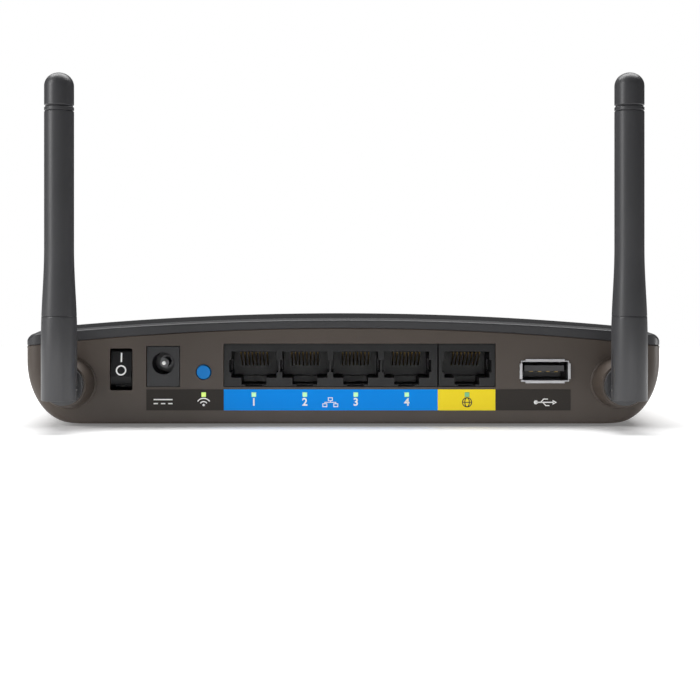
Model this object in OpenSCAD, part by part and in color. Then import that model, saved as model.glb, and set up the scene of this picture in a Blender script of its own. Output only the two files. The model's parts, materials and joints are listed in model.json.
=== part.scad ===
// Wireless router: flat table-top case, two hinged rear antennas, a row of rear sockets.
// Frame: +Z up, the front edge faces -Y, the rear panel faces +Y, the feet stand on z = 0.
// Places are given as x across, d forward from the rear panel's face, z above the case's underside.

/* [Case] */
// Greatest width of the case, halfway along its sides
case_w = 180; // [172:1:216]
// Depth of the case from rear panel to front edge
case_d = 131; // [109:1:158]
// How far each side bows out past the rear corners
side_bow = 3; // [1:0.5:6]
// How far the front edge bows forward
front_bow = 6; // [3:0.5:12]
// Plan radius of the front corners
front_corner_r = 22; // [10:1:30]
// Plan radius of the rear corners
rear_corner_r = 4; // [2:0.5:8]
// Height of the lid's highest point above the underside
crown_h = 29.3; // [27:0.1:35]
// Height of the lid's visible edge
lid_edge = 2.25; // [1.5:0.05:4]
// Wall of both case halves
wall = 2; // [1.6:0.1:2.4]
// Thickness of the lid's roof
roof = 2.4; // [2:0.1:3]
// Radius of the lid's arch across the case
arch_r = 770; // [500:10:1500]
// Radius of the lid's top across the case, flatter than the seam
top_r = 940; // [800:10:1500]
// Radius of the lid's fall from rear to front
sweep_r = 1000; // [700:10:2000]
// Where the lid is highest, forward of the rear panel
crown_d = 42; // [30:1:60]
// Width of the rounding under the case's sides and front
keel_w = 12.5; // [8:0.5:14]
// Height of that rounding
keel_h = 17.2; // [10:0.2:17.5]

/* [Lid inlay] */
// Margin between the inlay and the lid's outline
inlay_in = 9; // [6:0.5:14]
// Thickness of the inlay
inlay_t = 0.8; // [0.6:0.1:1]
// Length of the status lens
lens_w = 12; // [8:0.5:20]
// Width of the status lens
lens_t = 2.4; // [1.6:0.1:4]

/* [Feet and screws] */
// How far the feet stand proud of the underside
foot_proud = 0.8; // [0.5:0.1:2]
// Depth of the feet's recesses
foot_sunk = 0.6; // [0.4:0.1:0.8]
// Radius of a foot
foot_r = 6; // [5:0.1:7]
// Feet and case screws in from the case's sides
foot_in = 22; // [20:0.5:24]
// Rear pair of feet and case screws, forward of the rear panel
foot_d_rear = 30; // [27:1:33]
// Front pair of feet and case screws, behind the front edge
foot_front_in = 25; // [21:1:30]
// Radius of a case screw's shank
screw_r = 1.25; // [1:0.05:1.4]
// Radius of a board screw's shank
board_screw_r = 1; // [0.8:0.05:1.2]

/* [Antennas] */
// Antenna axes in from the case's sides
antenna_in = 15.2; // [14:0.2:17]
// Height of the antenna's pivot, and of its lead, above the board
pivot_up = 1.1; // [1.1:0.1:2]
// Length of the hinge boss behind the rear panel
boss_out = 10; // [8:0.1:12]
// Radius of the boss at the panel
boss_r = 6.7; // [6.2:0.1:7]
// Radius of the boss at its end
boss_end_r = 5.95; // [5.4:0.05:6]
// Radius of the swivel's barrel
barrel_r = 4; // [3.3:0.1:4.8]
// Radius of the swivel's flange
flange_r = 5.35; // [5:0.05:5.6]
// Thickness of the swivel's flange
flange_t = 1.6; // [1.2:0.1:2]
// Thickness of the swivel's tongue
tongue_t = 4; // [3:0.1:4.6]
// Radius of the tongue's round end
tongue_r = 3.3; // [2.6:0.1:3.3]
// Radius of the hinge pin
pin_r = 1; // [0.8:0.05:1.2]
// Antenna radius at its foot
whip_foot_r = 4.7; // [4.4:0.05:5.7]
// Antenna radius along its upper part
whip_r = 3.88; // [3.6:0.02:4.2]
// Length below the pivot
knuckle_down = 3.5; // [3.3:0.1:4]
// Height of the seam between knuckle and whip above the pivot
knuckle_up = 18.6; // [16:0.2:22]
// Where the whip starts to flare, above the pivot
flare_from = 36.8; // [30:0.2:40]
// Where the flare reaches the foot's radius, above the pivot
flare_to = 12.8; // [10:0.2:14]
// Height of the end cap's seam above the pivot
cap_from = 72.2; // [60:0.2:90]
// Length of the antenna above the pivot
whip_up = 82.5; // [75:0.5:105]
// Radius of the bore inside the whip
whip_bore_r = 2.9; // [2.6:0.05:3]
// Radius of the antenna lead
coax_r = 0.65; // [0.5:0.05:0.7]

/* [Board] */
// Gap between the board's sides and the case's pillars
board_in = 2.8; // [1:0.1:3]
// Length of the board, front to rear
board_d = 92; // [86:1:95]
// Height of the board's upper face above the underside
board_h = 10.1; // [9.5:0.1:12]
// Thickness of the board
board_t = 1.2; // [1:0.1:1.6]
// Board screws in from the board's sides
board_screw_in = 6; // [4:0.5:7]
// Rear pair of board screws, forward of the rear panel
board_screw_rear = 28; // [26:1:30]
// Front pair of board screws, behind the board's front edge
board_screw_front_in = 8.8; // [5:0.1:10]

/* [Sockets] */
// Distance between neighbouring network sockets
port_pitch = 13.97; // [13.8:0.01:14.2]
// Number of sockets in the network block
ports = 4; // [2:1:4]
// Middle of the row of network sockets
ports_x = 3.6; // [3.3:0.05:3.9]
// Width of the network block
block_w = 58.6; // [58:0.1:58.8]
// Middle of the modem jack
modem_x = -33.85; // [-34:0.05:-33.8]
// Width of the modem jack
modem_w = 15.5; // [15:0.1:15.6]
// Height of both network housings
block_h = 11.7; // [11.5:0.1:12]
// Depth of both network housings
block_d = 15.8; // [14:0.1:17]
// Depth of a network socket
socket_d = 12; // [11:0.1:12.5]
// Middle of the plug-in socket for storage
usb_x = -55.2; // [-55.6:0.1:-54.8]
// Height of that socket's middle above the board
usb_up = 4.3; // [4:0.1:5]
// Middle of the power inlet
inlet_x = 49.4; // [49:0.1:49.6]
// Width of the power inlet
inlet_w = 8.9; // [8.5:0.1:9.2]
// Height of the power inlet
inlet_tall = 11; // [10.5:0.1:11.4]
// Radius of the power inlet's hole
inlet_hole_r = 3.05; // [2.8:0.05:3.2]
// Radius of the power inlet's centre pin
inlet_pin_r = 1.25; // [0.8:0.05:1.3]
// Height of the inlet hole's axis above the board
inlet_up = 6.4; // [6:0.1:7]

/* [Switch and buttons] */
// Middle of the power switch
switch_x = 60.9; // [60.6:0.1:61.2]
// Height of the power switch's middle above the underside
switch_h = 14.85; // [14.5:0.05:15.2]
// Width of the switch's opening
switch_w = 6.2; // [5.8:0.1:6.4]
// Height of the switch's opening
switch_tall = 11.5; // [11.3:0.1:12]
// Tilt of the rocker either side of level
rocker_tilt = 13; // [10:0.5:13.5]
// Distance from the rocker's face to its pivot
rocker_deep = 6.5; // [6.3:0.1:6.8]
// Middle of the pairing button
pair_x = 38.3; // [37.8:0.1:38.6]
// Height of the pairing button above the board
pair_up = 4; // [3.5:0.1:4.5]
// Radius of the pairing button
pair_r = 1.85; // [1.6:0.05:2.1]
// Travel of the pairing button
pair_travel = 0.6; // [0.4:0.1:0.6]
// Middle of the reset button
reset_x = -30; // [-34:0.5:-26]
// Distance of the reset button from the rear panel
reset_d = 32; // [30:1:36]
// Radius of the reset button
reset_r = 1.6; // [1.3:0.05:1.8]
// Travel of the reset button
reset_travel = 0.4; // [0.2:0.05:0.4]

/* [Fits] */
// Radial clearance of a shaft that turns or slides
run_gap = 0.06; // [0.03:0.01:0.09]
// Clearance around a fixed piece in its opening
seat_gap = 0.1; // [0.05:0.01:0.15]
// Clearance between pieces that move past each other
move_gap = 0.3; // [0.3:0.01:0.35]

/* [Hidden] */
$fn = 48;
fine = 720;
tall = 60;
keel_steps = 6;

heel_gap = 0.4;
pivot_out = boss_out + move_gap + flange_t + heel_gap + whip_foot_r;
rear_y = (case_d - pivot_out - whip_foot_r) / 2;
seam_h = crown_h - lid_edge;
pillar_r = 3.2;
foot_x = case_w / 2 - foot_in;
foot_ds = [foot_d_rear, case_d - foot_front_in];
antenna_x = case_w / 2 - antenna_in;
pivot_h = board_h + pivot_up;
mid_d = case_d / 2;
side_r = (pow(mid_d, 2) + pow(side_bow, 2)) / (2 * side_bow);
front_span = case_w / 2 - front_corner_r;
front_r = (pow(front_span, 2) + pow(front_bow, 2)) / (2 * front_bow);
side_c = [case_w / 2 - side_r, mid_d];
front_c = [0, case_d - front_r];
board_under = board_h - board_t;
board_rear = wall + 0.8;
board_x = foot_x - pillar_r - board_in;
board_screw_x = board_x - board_screw_in;
board_ds = [board_screw_rear, board_rear + board_d - board_screw_front_in];
usb_h = board_h + usb_up;
inlet_h = board_h + inlet_up;
pair_h = board_h + pair_up;

// Case outline, seen from above, with the rear panel along d = 0
function arc(c, r, from, to, n) =
  [for (i = [0:n]) c + r * [cos(from + (to - from) * i / n), sin(from + (to - from) * i / n)]];
function bearing(v) = atan2(v[1], v[0]);
function meet(c1, r1, c2, r2) =
  let (gap = norm(c2 - c1), u = (c2 - c1) / gap, a = (r1 * r1 - r2 * r2 + gap * gap) / (2 * gap))
  c1 + a * u - sqrt(r1 * r1 - a * a) * [-u[1], u[0]];
front_corner_c = meet(front_c, front_r - front_corner_r, side_c, side_r - front_corner_r);
// inset: how far the sides and front come in; back: how far the rear comes in; r: rear corner radius
function half_outline(inset, back, r) = let (
    f = front_corner_c,
    q = [side_c[0] + sqrt(pow(side_r - inset - r, 2) - pow(mid_d - back - r, 2)), back + r]
  ) concat(
    arc(front_c, front_r - inset, 90, bearing(f - front_c), 4),
    arc(f, front_corner_r - inset, bearing(f - front_c), bearing(f - side_c), 7),
    arc(side_c, side_r - inset, bearing(f - side_c), bearing(q - side_c), 5),
    arc(q, r, bearing(q - side_c), -90, 4));
function outline(inset, back, r) = let (h = half_outline(inset, back, r), n = len(h))
  concat([for (i = [1:n - 1]) [h[i][0], -h[i][1]]], [for (i = [n - 1:-1:0]) [-h[i][0], -h[i][1]]]);
module prism(inset, back, r) { at(0, 0, -tall) linear_extrude(2 * tall) polygon(outline(inset, back, r)); }

// Closed skin through a stack of outlines, each as [outline, height]
module loft(rings) {
  n = len(rings[0][0]);
  last = len(rings) - 1;
  points = [for (ring = rings, p = ring[0]) [p[0], p[1], ring[1]]];
  sides = [for (k = [0:last - 1], i = [0:n - 1], upper = [0, 1]) let (a = k * n + i, b = k * n + (i + 1) % n)
    upper == 0 ? [a, a + n, b] : [b, a + n, b + n]];
  polyhedron(points, concat(sides, [[for (i = [0:n - 1]) i]], [[for (i = [n - 1:-1:0]) last * n + i]]));
}
// The case's outer shape grown inwards by t: upright sides over a rounded keel, flat at the rear
module hull_shape(t, r) {
  at(0, 0, 0) loft(concat(
    [for (i = [keel_steps:-1:0]) let (a = 90 * i / keel_steps)
      [outline(t + (keel_w - t) * (1 - cos(a)), t, r), keel_h - (keel_h - t) * sin(a)]],
    [[outline(t, t, r), tall]]));
}
// Everything below a surface that arches across the case and falls from crown_d to both ends
module below(h, bow = arch_r) {
  at(0, crown_d, h - sweep_r) rotate([0, -90, 0]) rotate_extrude($fn = fine) intersection() {
    translate([sweep_r - bow, 0]) circle(bow, $fn = fine);
    translate([sweep_r - tall, -case_w]) square([2 * tall, 2 * case_w]);
  }
}
// How far that surface has dropped at a place
function fall(x, d) = pow(x, 2) / (2 * arch_r) + pow(d - crown_d, 2) / (2 * sweep_r);

// Placing helpers
module at(x, d, z) { translate([x, rear_y - d, foot_proud + z]) children(); }
module block(x, w, d0, d1, z0, z1) { at(x - w / 2, d1, z0) cube([w, d1 - d0, z1 - z0]); }
module slab(x, w, d0, d1, mid, high) { block(x, w, d0, d1, mid - high / 2, mid + high / 2); }
module rod(x, z, r, d0, d1) { at(x, d1, z) rotate([-90, 0, 0]) cylinder(r = r, h = d1 - d0); }
module post(x, d, r, z0, z1) { at(x, d, z0) cylinder(r = r, h = z1 - z0); }
module posts(x, ds, r, z0, z1) { for (s = [-1, 1], d = ds) post(s * x, d, r, z0, z1); }
// Plate cut to a side view, given as points of [d, z], and centred on x
module side_plate(x, w, points) {
  at(x - w / 2, 0, 0) rotate([90, 0, 90]) linear_extrude(w) polygon([for (p = points) [-p[0], p[1]]]);
}

// Case
port_xs = [for (i = [0:ports - 1]) ports_x + (i - (ports - 1) / 2) * port_pitch];
block_x = ports_x - 0.125;
row_x0 = modem_x - modem_w / 2 - seat_gap;
row_x1 = block_x + block_w / 2 + seat_gap;
window_xs = concat(port_xs, [pair_x, modem_x]);
block_z0 = board_h;
block_z1 = board_h + block_h;
film_z1 = board_h - 0.7;
film_z0 = film_z1 - 5.76;
film_t = 0.12;
film_x0 = usb_x - 7;
film_x1 = inlet_x + inlet_w / 2 + 0.15;
window_h = board_under - 0.95;
window_w = 1.2;
pillar_h = 8.6;
head_r = 2.5;
head_t = 1.8;
standoff_r = 3;
vent_xs = [26, 30.5, 35, 39.5];
vent_w = 2.2;
vent_d0 = 50;
vent_d1 = 78;
key_x = 54;
key_d = 60;
key_r = 3.4;
key_slot_r = 1.7;
key_run = 6;
reset_tube_top = 5;
film_w = 40;
film_d0 = 42;
film_d1 = 74;
film_deep = 0.2;

module bottom_case() {
  root = wall / 2;
  color([0.42, 0.39, 0.37]) difference() {
    union() {
      difference() {
        intersection() {
          hull_shape(0, rear_corner_r);
          below(seam_h);
        }
        hull_shape(wall, rear_corner_r - wall / 2);
      }
      posts(foot_x, foot_ds, pillar_r, wall / 2, pillar_h);
      posts(board_screw_x, board_ds, standoff_r, wall / 2, board_under);
      post(reset_x, reset_d, reset_r + run_gap + 1.4, wall / 2, reset_tube_top);
      for (s = [-1, 1]) at(s * antenna_x, root, pivot_h) rotate([-90, 0, 0])
        cylinder(r1 = boss_r + root * (boss_r - boss_end_r) / boss_out, r2 = boss_end_r, h = boss_out + root);
    }
    for (s = [-1, 1]) rod(s * antenna_x, pivot_h, barrel_r + run_gap, -boss_out - 1, wall + 1);
    posts(foot_x, foot_ds, foot_r + seat_gap, -1, foot_sunk);
    posts(foot_x, foot_ds, head_r + 0.3, -1, foot_sunk + 0.4 + head_t);
    posts(foot_x, foot_ds, screw_r + 0.3, -1, pillar_h + 1);
    posts(board_screw_x, board_ds, board_screw_r, wall + 0.5, board_h);
    post(reset_x, reset_d, reset_r + run_gap, -1, reset_tube_top + 1);
    rear_openings();
    for (s = [-1, 1], x = vent_xs) block(s * x, vent_w, vent_d0, vent_d1, -1, wall + 1);
    for (s = [-1, 1]) {
      post(s * key_x, key_d, key_r, -1, wall + 1);
      post(s * key_x, key_d - key_run, key_slot_r, -1, wall + 1);
      block(s * key_x, 2 * key_slot_r, key_d - key_run, key_d, -1, wall + 1);
    }
    block(0, film_w + 2 * seat_gap, film_d0 - seat_gap, film_d1 + seat_gap, -1, film_deep);
  }
}
module rear_openings() {
  inside = wall + 1;
  slab(switch_x, switch_w, -1, inside, switch_h, switch_tall);
  block(inlet_x, inlet_w + 4 * seat_gap, -1, inside, board_h - seat_gap, board_h + inlet_tall + 2 * seat_gap);
  rod(pair_x, pair_h, pair_r + move_gap, -1, inside);
  block((row_x0 + row_x1) / 2, row_x1 - row_x0, -1, inside, block_z0 - seat_gap, block_z1 + seat_gap);
  slab(usb_x, usb_w + 2 * seat_gap, -1, inside, usb_h, usb_tall + 2 * seat_gap);
  for (x = window_xs) slab(x, window_w + 2 * seat_gap, -1, inside, window_h, window_w + 2 * seat_gap);
}

module top_cover() {
  color([0.17, 0.17, 0.18]) difference() {
    union() {
      difference() {
        intersection() {
          prism(0, 0, rear_corner_r);
          below(crown_h, top_r);
        }
        intersection() {
          prism(wall, wall, rear_corner_r - wall / 2);
          below(crown_h - roof);
        }
        below(seam_h);
      }
      difference() {
        intersection() {
          prism(wall + seat_gap, wall + seat_gap, rear_corner_r - wall / 2);
          below(crown_h - roof / 2);
        }
        prism(wall + lip_t, wall + lip_t, rear_corner_r - wall / 2);
        below(seam_h - lip_down);
      }
      intersection() {
        posts(foot_x, foot_ds, standoff_r, pillar_h, crown_h);
        below(crown_h - roof / 2);
      }
    }
    difference() {
      prism(inlay_in, inlay_in, rear_corner_r);
      below(crown_h - inlay_t, top_r);
    }
    posts(foot_x, foot_ds, screw_r, pillar_h - 1, pillar_h + 6);
    lens_shape(seat_gap, lens_z0, crown_h);
  }
}
lip_t = 1.1;
lip_down = 1.2;
lens_d = case_d - 20;
lens_z1 = crown_h - fall(lens_w / 2, lens_d + lens_t / 2) - 0.15;
lens_z0 = lens_z1 - 3;

module lens_shape(gap, z0, z1) {
  r = lens_t / 2;
  block(0, lens_w - lens_t, lens_d - r - gap, lens_d + r + gap, z0, z1);
  posts((lens_w - lens_t) / 2, [lens_d], r + gap, z0, z1);
}
module top_inlay() {
  color([0.12, 0.12, 0.13]) difference() {
    intersection() {
      prism(inlay_in + seat_gap, inlay_in + seat_gap, rear_corner_r);
      below(crown_h, top_r);
    }
    below(crown_h - inlay_t, top_r);
    lens_shape(seat_gap, lens_z0, crown_h + 1);
  }
}
module status_lens() { color([0.8, 0.85, 0.9]) lens_shape(0, lens_z0, lens_z1); }
module rubber_feet() { color([0.1, 0.1, 0.1]) posts(foot_x, foot_ds, foot_r, -foot_proud, foot_sunk); }
module case_screws() {
  color("silver") for (s = [-1, 1], d = foot_ds) difference() {
    union() {
      post(s * foot_x, d, head_r, foot_sunk + 0.4, foot_sunk + 0.4 + head_t);
      post(s * foot_x, d, screw_r, foot_sunk + 0.4 + head_t, pillar_h + 5.5);
    }
    cross_recess(s * foot_x, d, foot_sunk + 0.3, foot_sunk + 1.4);
  }
}
module cross_recess(x, d, z0, z1) {
  block(x, 0.6, d - 1.2, d + 1.2, z0, z1);
  block(x, 2.4, d - 0.3, d + 0.3, z0, z1);
}
module rating_film() { color([0.75, 0.75, 0.75]) block(0, film_w, film_d0, film_d1, 0.05, film_deep); }

// Antennas, each built about its own pivot on the right-hand side and mirrored for the left
module sided(s) { at(s * antenna_x, -pivot_out, pivot_h) mirror([s < 0 ? 1 : 0, 0, 0]) children(); }
function whip_radius(h) = let (u = min(1, max(0, (flare_from - h) / (flare_from - flare_to))))
  whip_r + (whip_foot_r - whip_r) * (1 - cos(180 * u)) / 2;
module turned(from, to) {
  steps = 12;
  heights = concat([from], [for (i = [0:steps]) let (h = flare_to + (flare_from - flare_to) * i / steps)
    if (h > from + 0.2 && h < to - 0.2) h], [to]);
  rotate_extrude() polygon(concat([[0, from]], [for (h = heights) [whip_radius(h), h]], [[0, to]]));
}
module bar_y(r, y0, y1) { translate([0, y0, 0]) rotate([-90, 0, 0]) cylinder(r = r, h = y1 - y0); }
module bar_x(r, x0, x1) { translate([x0, 0, 0]) rotate([0, 90, 0]) cylinder(r = r, h = x1 - x0); }
module box(x0, x1, y0, y1, z0, z1) { translate([x0, y0, z0]) cube([x1 - x0, y1 - y0, z1 - z0]); }
flange_y = boss_out + move_gap - pivot_out;
inner_y = -pivot_out - wall;
clip_t = 1;
clip_neck_r = barrel_r - 0.8;
clip_r = barrel_r + 1.2;
lead_hole_r = coax_r + move_gap + 0.05;
slot_w = tongue_t + 2 * move_gap;
heel_r = whip_foot_r + 0.1;
lead_exit_y = -tongue_r;
spigot_r = 3.3;
spigot_l = 4;
lead_y = 1.05;

module swivel() {
  color([0.2, 0.2, 0.21]) difference() {
    union() {
      bar_y(barrel_r, inner_y - 3, flange_y);
      bar_y(flange_r, flange_y, flange_y + flange_t);
      box(-tongue_t / 2, tongue_t / 2, flange_y + flange_t, 0, -tongue_r, tongue_r);
      bar_x(tongue_r, -tongue_t / 2, tongue_t / 2);
    }
    difference() {
      bar_y(barrel_r + 1, inner_y - move_gap - clip_t, inner_y - move_gap);
      bar_y(clip_neck_r, inner_y - 5, inner_y + 1);
    }
    bar_y(lead_hole_r, inner_y - 4, lead_exit_y);
    translate([0, lead_exit_y + 0.3, 0]) cylinder(r = lead_hole_r, h = tongue_r + 1);
    bar_x(pin_r + run_gap, -tongue_t, tongue_t);
  }
}
module swivel_clip() {
  color("silver") difference() {
    bar_y(clip_r, inner_y - move_gap - clip_t, inner_y - move_gap);
    bar_y(clip_neck_r, inner_y - 5, inner_y + 1);
    box(-clip_neck_r * 0.7, clip_neck_r * 0.7, inner_y - 5, inner_y + 1, 0, clip_r + 1);
  }
}
module hinge_pin() {
  ear = sqrt(pow(whip_foot_r, 2) - pow(pin_r, 2)) - 0.3;
  color("silver") bar_x(pin_r, -ear, ear);
}
module knuckle() {
  color([0.21, 0.21, 0.22]) difference() {
    turned(-knuckle_down, knuckle_up);
    difference() {
      box(-2 * whip_foot_r, 2 * whip_foot_r, -2 * whip_foot_r, 0, -2 * whip_foot_r, 0);
      bar_x(heel_r, -3 * whip_foot_r, 3 * whip_foot_r);
    }
    box(-slot_w / 2, slot_w / 2, -2 * whip_foot_r, 0, -2 * whip_foot_r, tongue_r + move_gap);
    box(-slot_w / 2, slot_w / 2, -2 * whip_foot_r, tongue_r + move_gap, -2 * whip_foot_r, 0);
    bar_x(tongue_r + move_gap, -slot_w / 2, slot_w / 2);
    bar_x(pin_r, -2 * whip_foot_r, 2 * whip_foot_r);
    cylinder(r = 2, h = knuckle_up);
    translate([0, 0, knuckle_up - spigot_l - seat_gap]) cylinder(r = spigot_r + run_gap, h = 2 * spigot_l);
  }
}
module whip() {
  color([0.21, 0.21, 0.22]) difference() {
    union() {
      turned(knuckle_up, cap_from);
      translate([0, 0, knuckle_up - spigot_l]) cylinder(r = spigot_r, h = spigot_l + 1);
    }
    translate([0, 0, knuckle_up - 2 * spigot_l]) cylinder(r = spigot_r - 1, h = 3 * spigot_l);
    translate([0, 0, knuckle_up + spigot_l]) cylinder(r = whip_bore_r, h = cap_from);
  }
}
module antenna_cap() {
  groove = 0.37;
  dome = 3.55;
  shoulder = whip_up - dome;
  steps = 10;
  color([0.21, 0.21, 0.22]) {
    rotate_extrude() polygon(concat(
      [[0, cap_from], [whip_r - groove, cap_from], [whip_r, cap_from + groove],
       [whip_r, cap_from + 1.1], [whip_r - groove, cap_from + 1.45], [whip_r, cap_from + 1.8]],
      [for (i = [0:steps]) [whip_r * cos(90 * i / steps), shoulder + dome * sin(90 * i / steps)]]));
    translate([0, 0, cap_from - 4]) cylinder(r = whip_bore_r - seat_gap, h = 4);
  }
}
module radiator() {
  color([0.72, 0.55, 0.3]) {
    box(-2.3, 2.3, -0.4, 0.4, 26, cap_from - 5);
    translate([0, lead_y, tongue_r + 2.5]) cylinder(r = coax_r, h = 32 - tongue_r);
  }
}
plug_w = 3;
plug_x = board_screw_x - 2;
plug_d = 19;
bend_r = 6;
module lead_plug() {
  half = plug_w / 2;
  color("gold") block(plug_x, plug_w, plug_d - half, plug_d + half, board_h, pivot_h + coax_r + 0.4);
}
// Lead inside the case: out of the barrel, round a bend, and across to its plug
module pigtail() {
  color([0.15, 0.15, 0.15]) {
    rod(antenna_x, pivot_h, coax_r, -boss_out + 1, plug_d - bend_r);
    at(antenna_x - bend_r, plug_d - bend_r, pivot_h) mirror([0, 1, 0]) rotate_extrude(angle = 90)
      translate([bend_r, 0]) circle(coax_r);
    at(plug_x + plug_w / 2, plug_d, pivot_h) rotate([0, 90, 0])
      cylinder(r = coax_r, h = antenna_x - bend_r - plug_x - plug_w / 2);
  }
}
module flipped(s) { mirror([s < 0 ? 1 : 0, 0, 0]) children(); }

// Power switch
switch_cheek = 0.8;
switch_back = 12.5;
cavity_half = switch_tall / 2 + 0.9;
trunnion_r = 0.8;
rocker_w = switch_w - 0.5;
module switch_housing() {
  half = cavity_half + 0.7;
  color([0.08, 0.08, 0.08]) difference() {
    slab(switch_x, switch_w + 2 * switch_cheek, wall, switch_back, switch_h, 2 * half);
    slab(switch_x, switch_w, wall - 1, switch_back - 1.6, switch_h, 2 * cavity_half);
    at(switch_x, rocker_deep, switch_h) bar_x(trunnion_r + run_gap, -switch_w, switch_w);
  }
}
// Its side view, as [out from the pivot, half height]: flat face, lips, flanks and a narrow back
module power_rocker() {
  half_side = [[rocker_deep, 3.5], [rocker_deep - 2.1, 5.3], [2.4, 4.6], [-1.8, 1.6]];
  side = concat(half_side, [for (i = [3:-1:0]) [half_side[i][0], -half_side[i][1]]]);
  color([0.1, 0.1, 0.1]) at(switch_x, rocker_deep, switch_h) rotate([rocker_tilt, 0, 0]) union() {
    translate([-rocker_w / 2, 0, 0]) rotate([90, 0, 90]) linear_extrude(rocker_w) polygon(side);
    bar_x(trunnion_r, -switch_w / 2 - switch_cheek, switch_w / 2 + switch_cheek);
  }
}
module switch_terminals() {
  color("silver") for (s = [-1, 1])
    side_plate(switch_x + s * 2, 1, [[switch_back, switch_h - 0.5], [switch_back + 2.8, switch_h - 0.5],
      [switch_back + 2.8, board_h], [switch_back + 2, board_h], [switch_back + 2, switch_h - 1.3],
      [switch_back, switch_h - 1.3]]);
}

// Power inlet
inlet_back = 14.2;
inlet_deep = 10;
inlet_face = 0.4;
inlet_nose_r = 0.53;
inlet_step = 3.3;
module inlet_housing() {
  z0 = inlet_h - inlet_hole_r;
  color([0.15, 0.15, 0.16]) difference() {
    block(inlet_x, inlet_w, inlet_face, inlet_back, board_h, board_h + inlet_tall);
    rod(inlet_x, inlet_h, inlet_hole_r, -1, inlet_deep);
    rod(inlet_x, inlet_h, inlet_pin_r + 0.6, inlet_deep - 1, inlet_deep + 1.6);
    block(inlet_x, 2, 3, inlet_deep + 2, z0 - 1.2, z0 + 0.3);
  }
}
module inlet_pin() {
  color("silver") {
    rod(inlet_x, inlet_h, inlet_nose_r, 1.9, inlet_step);
    rod(inlet_x, inlet_h, inlet_pin_r, inlet_step, inlet_deep);
    rod(inlet_x, inlet_h, inlet_pin_r + 0.6, inlet_deep, inlet_deep + 1.6);
  }
}
module inlet_contact() {
  z0 = inlet_h - inlet_hole_r;
  color("silver") side_plate(inlet_x, 1.6, [[3.6, z0 - 0.5], [3.9, z0 - 0.3], [6, z0 + 0.1], [8, z0 - 0.6],
    [inlet_deep + 2, z0 - 0.9], [inlet_deep + 2, z0 - 1.2], [7.8, z0 - 1], [6, z0 - 0.2], [4, z0 - 0.7]]);
}

// Buttons
pair_flange = [wall + move_gap, wall + move_gap + 0.7];
pair_end = pair_flange[1] + 1.2;
module pair_button() {
  color([0.14, 0.5, 0.78]) {
    rod(pair_x, pair_h, pair_r, -0.5, pair_end);
    rod(pair_x, pair_h, pair_r + 1, pair_flange[0], pair_flange[1]);
  }
}
module pair_plunger() { color("silver") rod(pair_x, pair_h, 0.8, pair_end, pair_end + 2.4); }
module pair_switch() {
  front = pair_end + pair_travel + 0.5;
  color([0.12, 0.12, 0.12]) difference() {
    block(pair_x, 6, front, front + 3.6, board_h, pair_h + 3);
    rod(pair_x, pair_h, 0.8 + run_gap, front - 1, front + 2.4);
  }
}
reset_end = reset_tube_top + 2 * move_gap + 0.4;
module reset_button() {
  color([0.7, 0.1, 0.1]) {
    post(reset_x, reset_d, reset_r, 0.6, reset_end);
    post(reset_x, reset_d, reset_r + 0.9, reset_tube_top + move_gap, reset_end);
  }
}
module reset_plunger() { color("silver") post(reset_x, reset_d, 0.8, reset_end, reset_end + 1.5); }
module reset_switch() {
  under = reset_end + reset_travel + 0.3;
  color([0.12, 0.12, 0.12]) difference() {
    block(reset_x, 6, reset_d - 3, reset_d + 3, under, board_under);
    post(reset_x, reset_d, 0.8 + run_gap, under - 1, board_under - 0.2);
  }
}

// Network sockets: a body opening, side notches for the plug's shoulders, and two steps for its latch
block_face = 0.35;
socket_w = 12.3;
socket_floor = 2.5;
socket_top = 9.6;
shoulder_w = 13.4;
latch_w = 6.7;
latch_tip_w = 4.6;
module socket_void(x, h) {
  block(x, socket_w, -1, socket_d, h + socket_floor, h + socket_top);
  block(x, shoulder_w, -1, socket_d - 3, h + 4, h + 7.3);
  block(x, latch_w, -1, socket_d - 2, h + 0.65, h + socket_floor + 0.1);
  block(x, latch_tip_w, -1, 3, h + 0.25, h + 0.7);
}
module network_block() {
  color([0.15, 0.15, 0.16]) difference() {
    block(block_x, block_w, block_face, block_d, block_z0, block_z1);
    for (x = port_xs) socket_void(x, block_z0);
  }
}
module modem_jack() {
  color([0.15, 0.15, 0.16]) difference() {
    block(modem_x, modem_w, block_face, block_d, block_z0, block_z1);
    socket_void(modem_x, block_z0);
  }
}
contact_pitch = 1.02;
contact_w = 0.35;
module contact_comb(x) {
  top = block_z0 + socket_top;
  wire = [[socket_d, top - 0.15], [1.6, top - 0.05], [1.2, top - 0.3], [1.4, top - 0.55],
    [8.4, top - 4.2], [8.7, top - 3.95], [2.2, top - 0.45], [socket_d, top - 0.5]];
  for (i = [0:7]) side_plate(x + (i - 3.5) * contact_pitch, contact_w, wire);
}
module network_contacts() { color("gold") for (x = port_xs) contact_comb(x); }
module modem_contacts() { color("gold") contact_comb(modem_x); }

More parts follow.
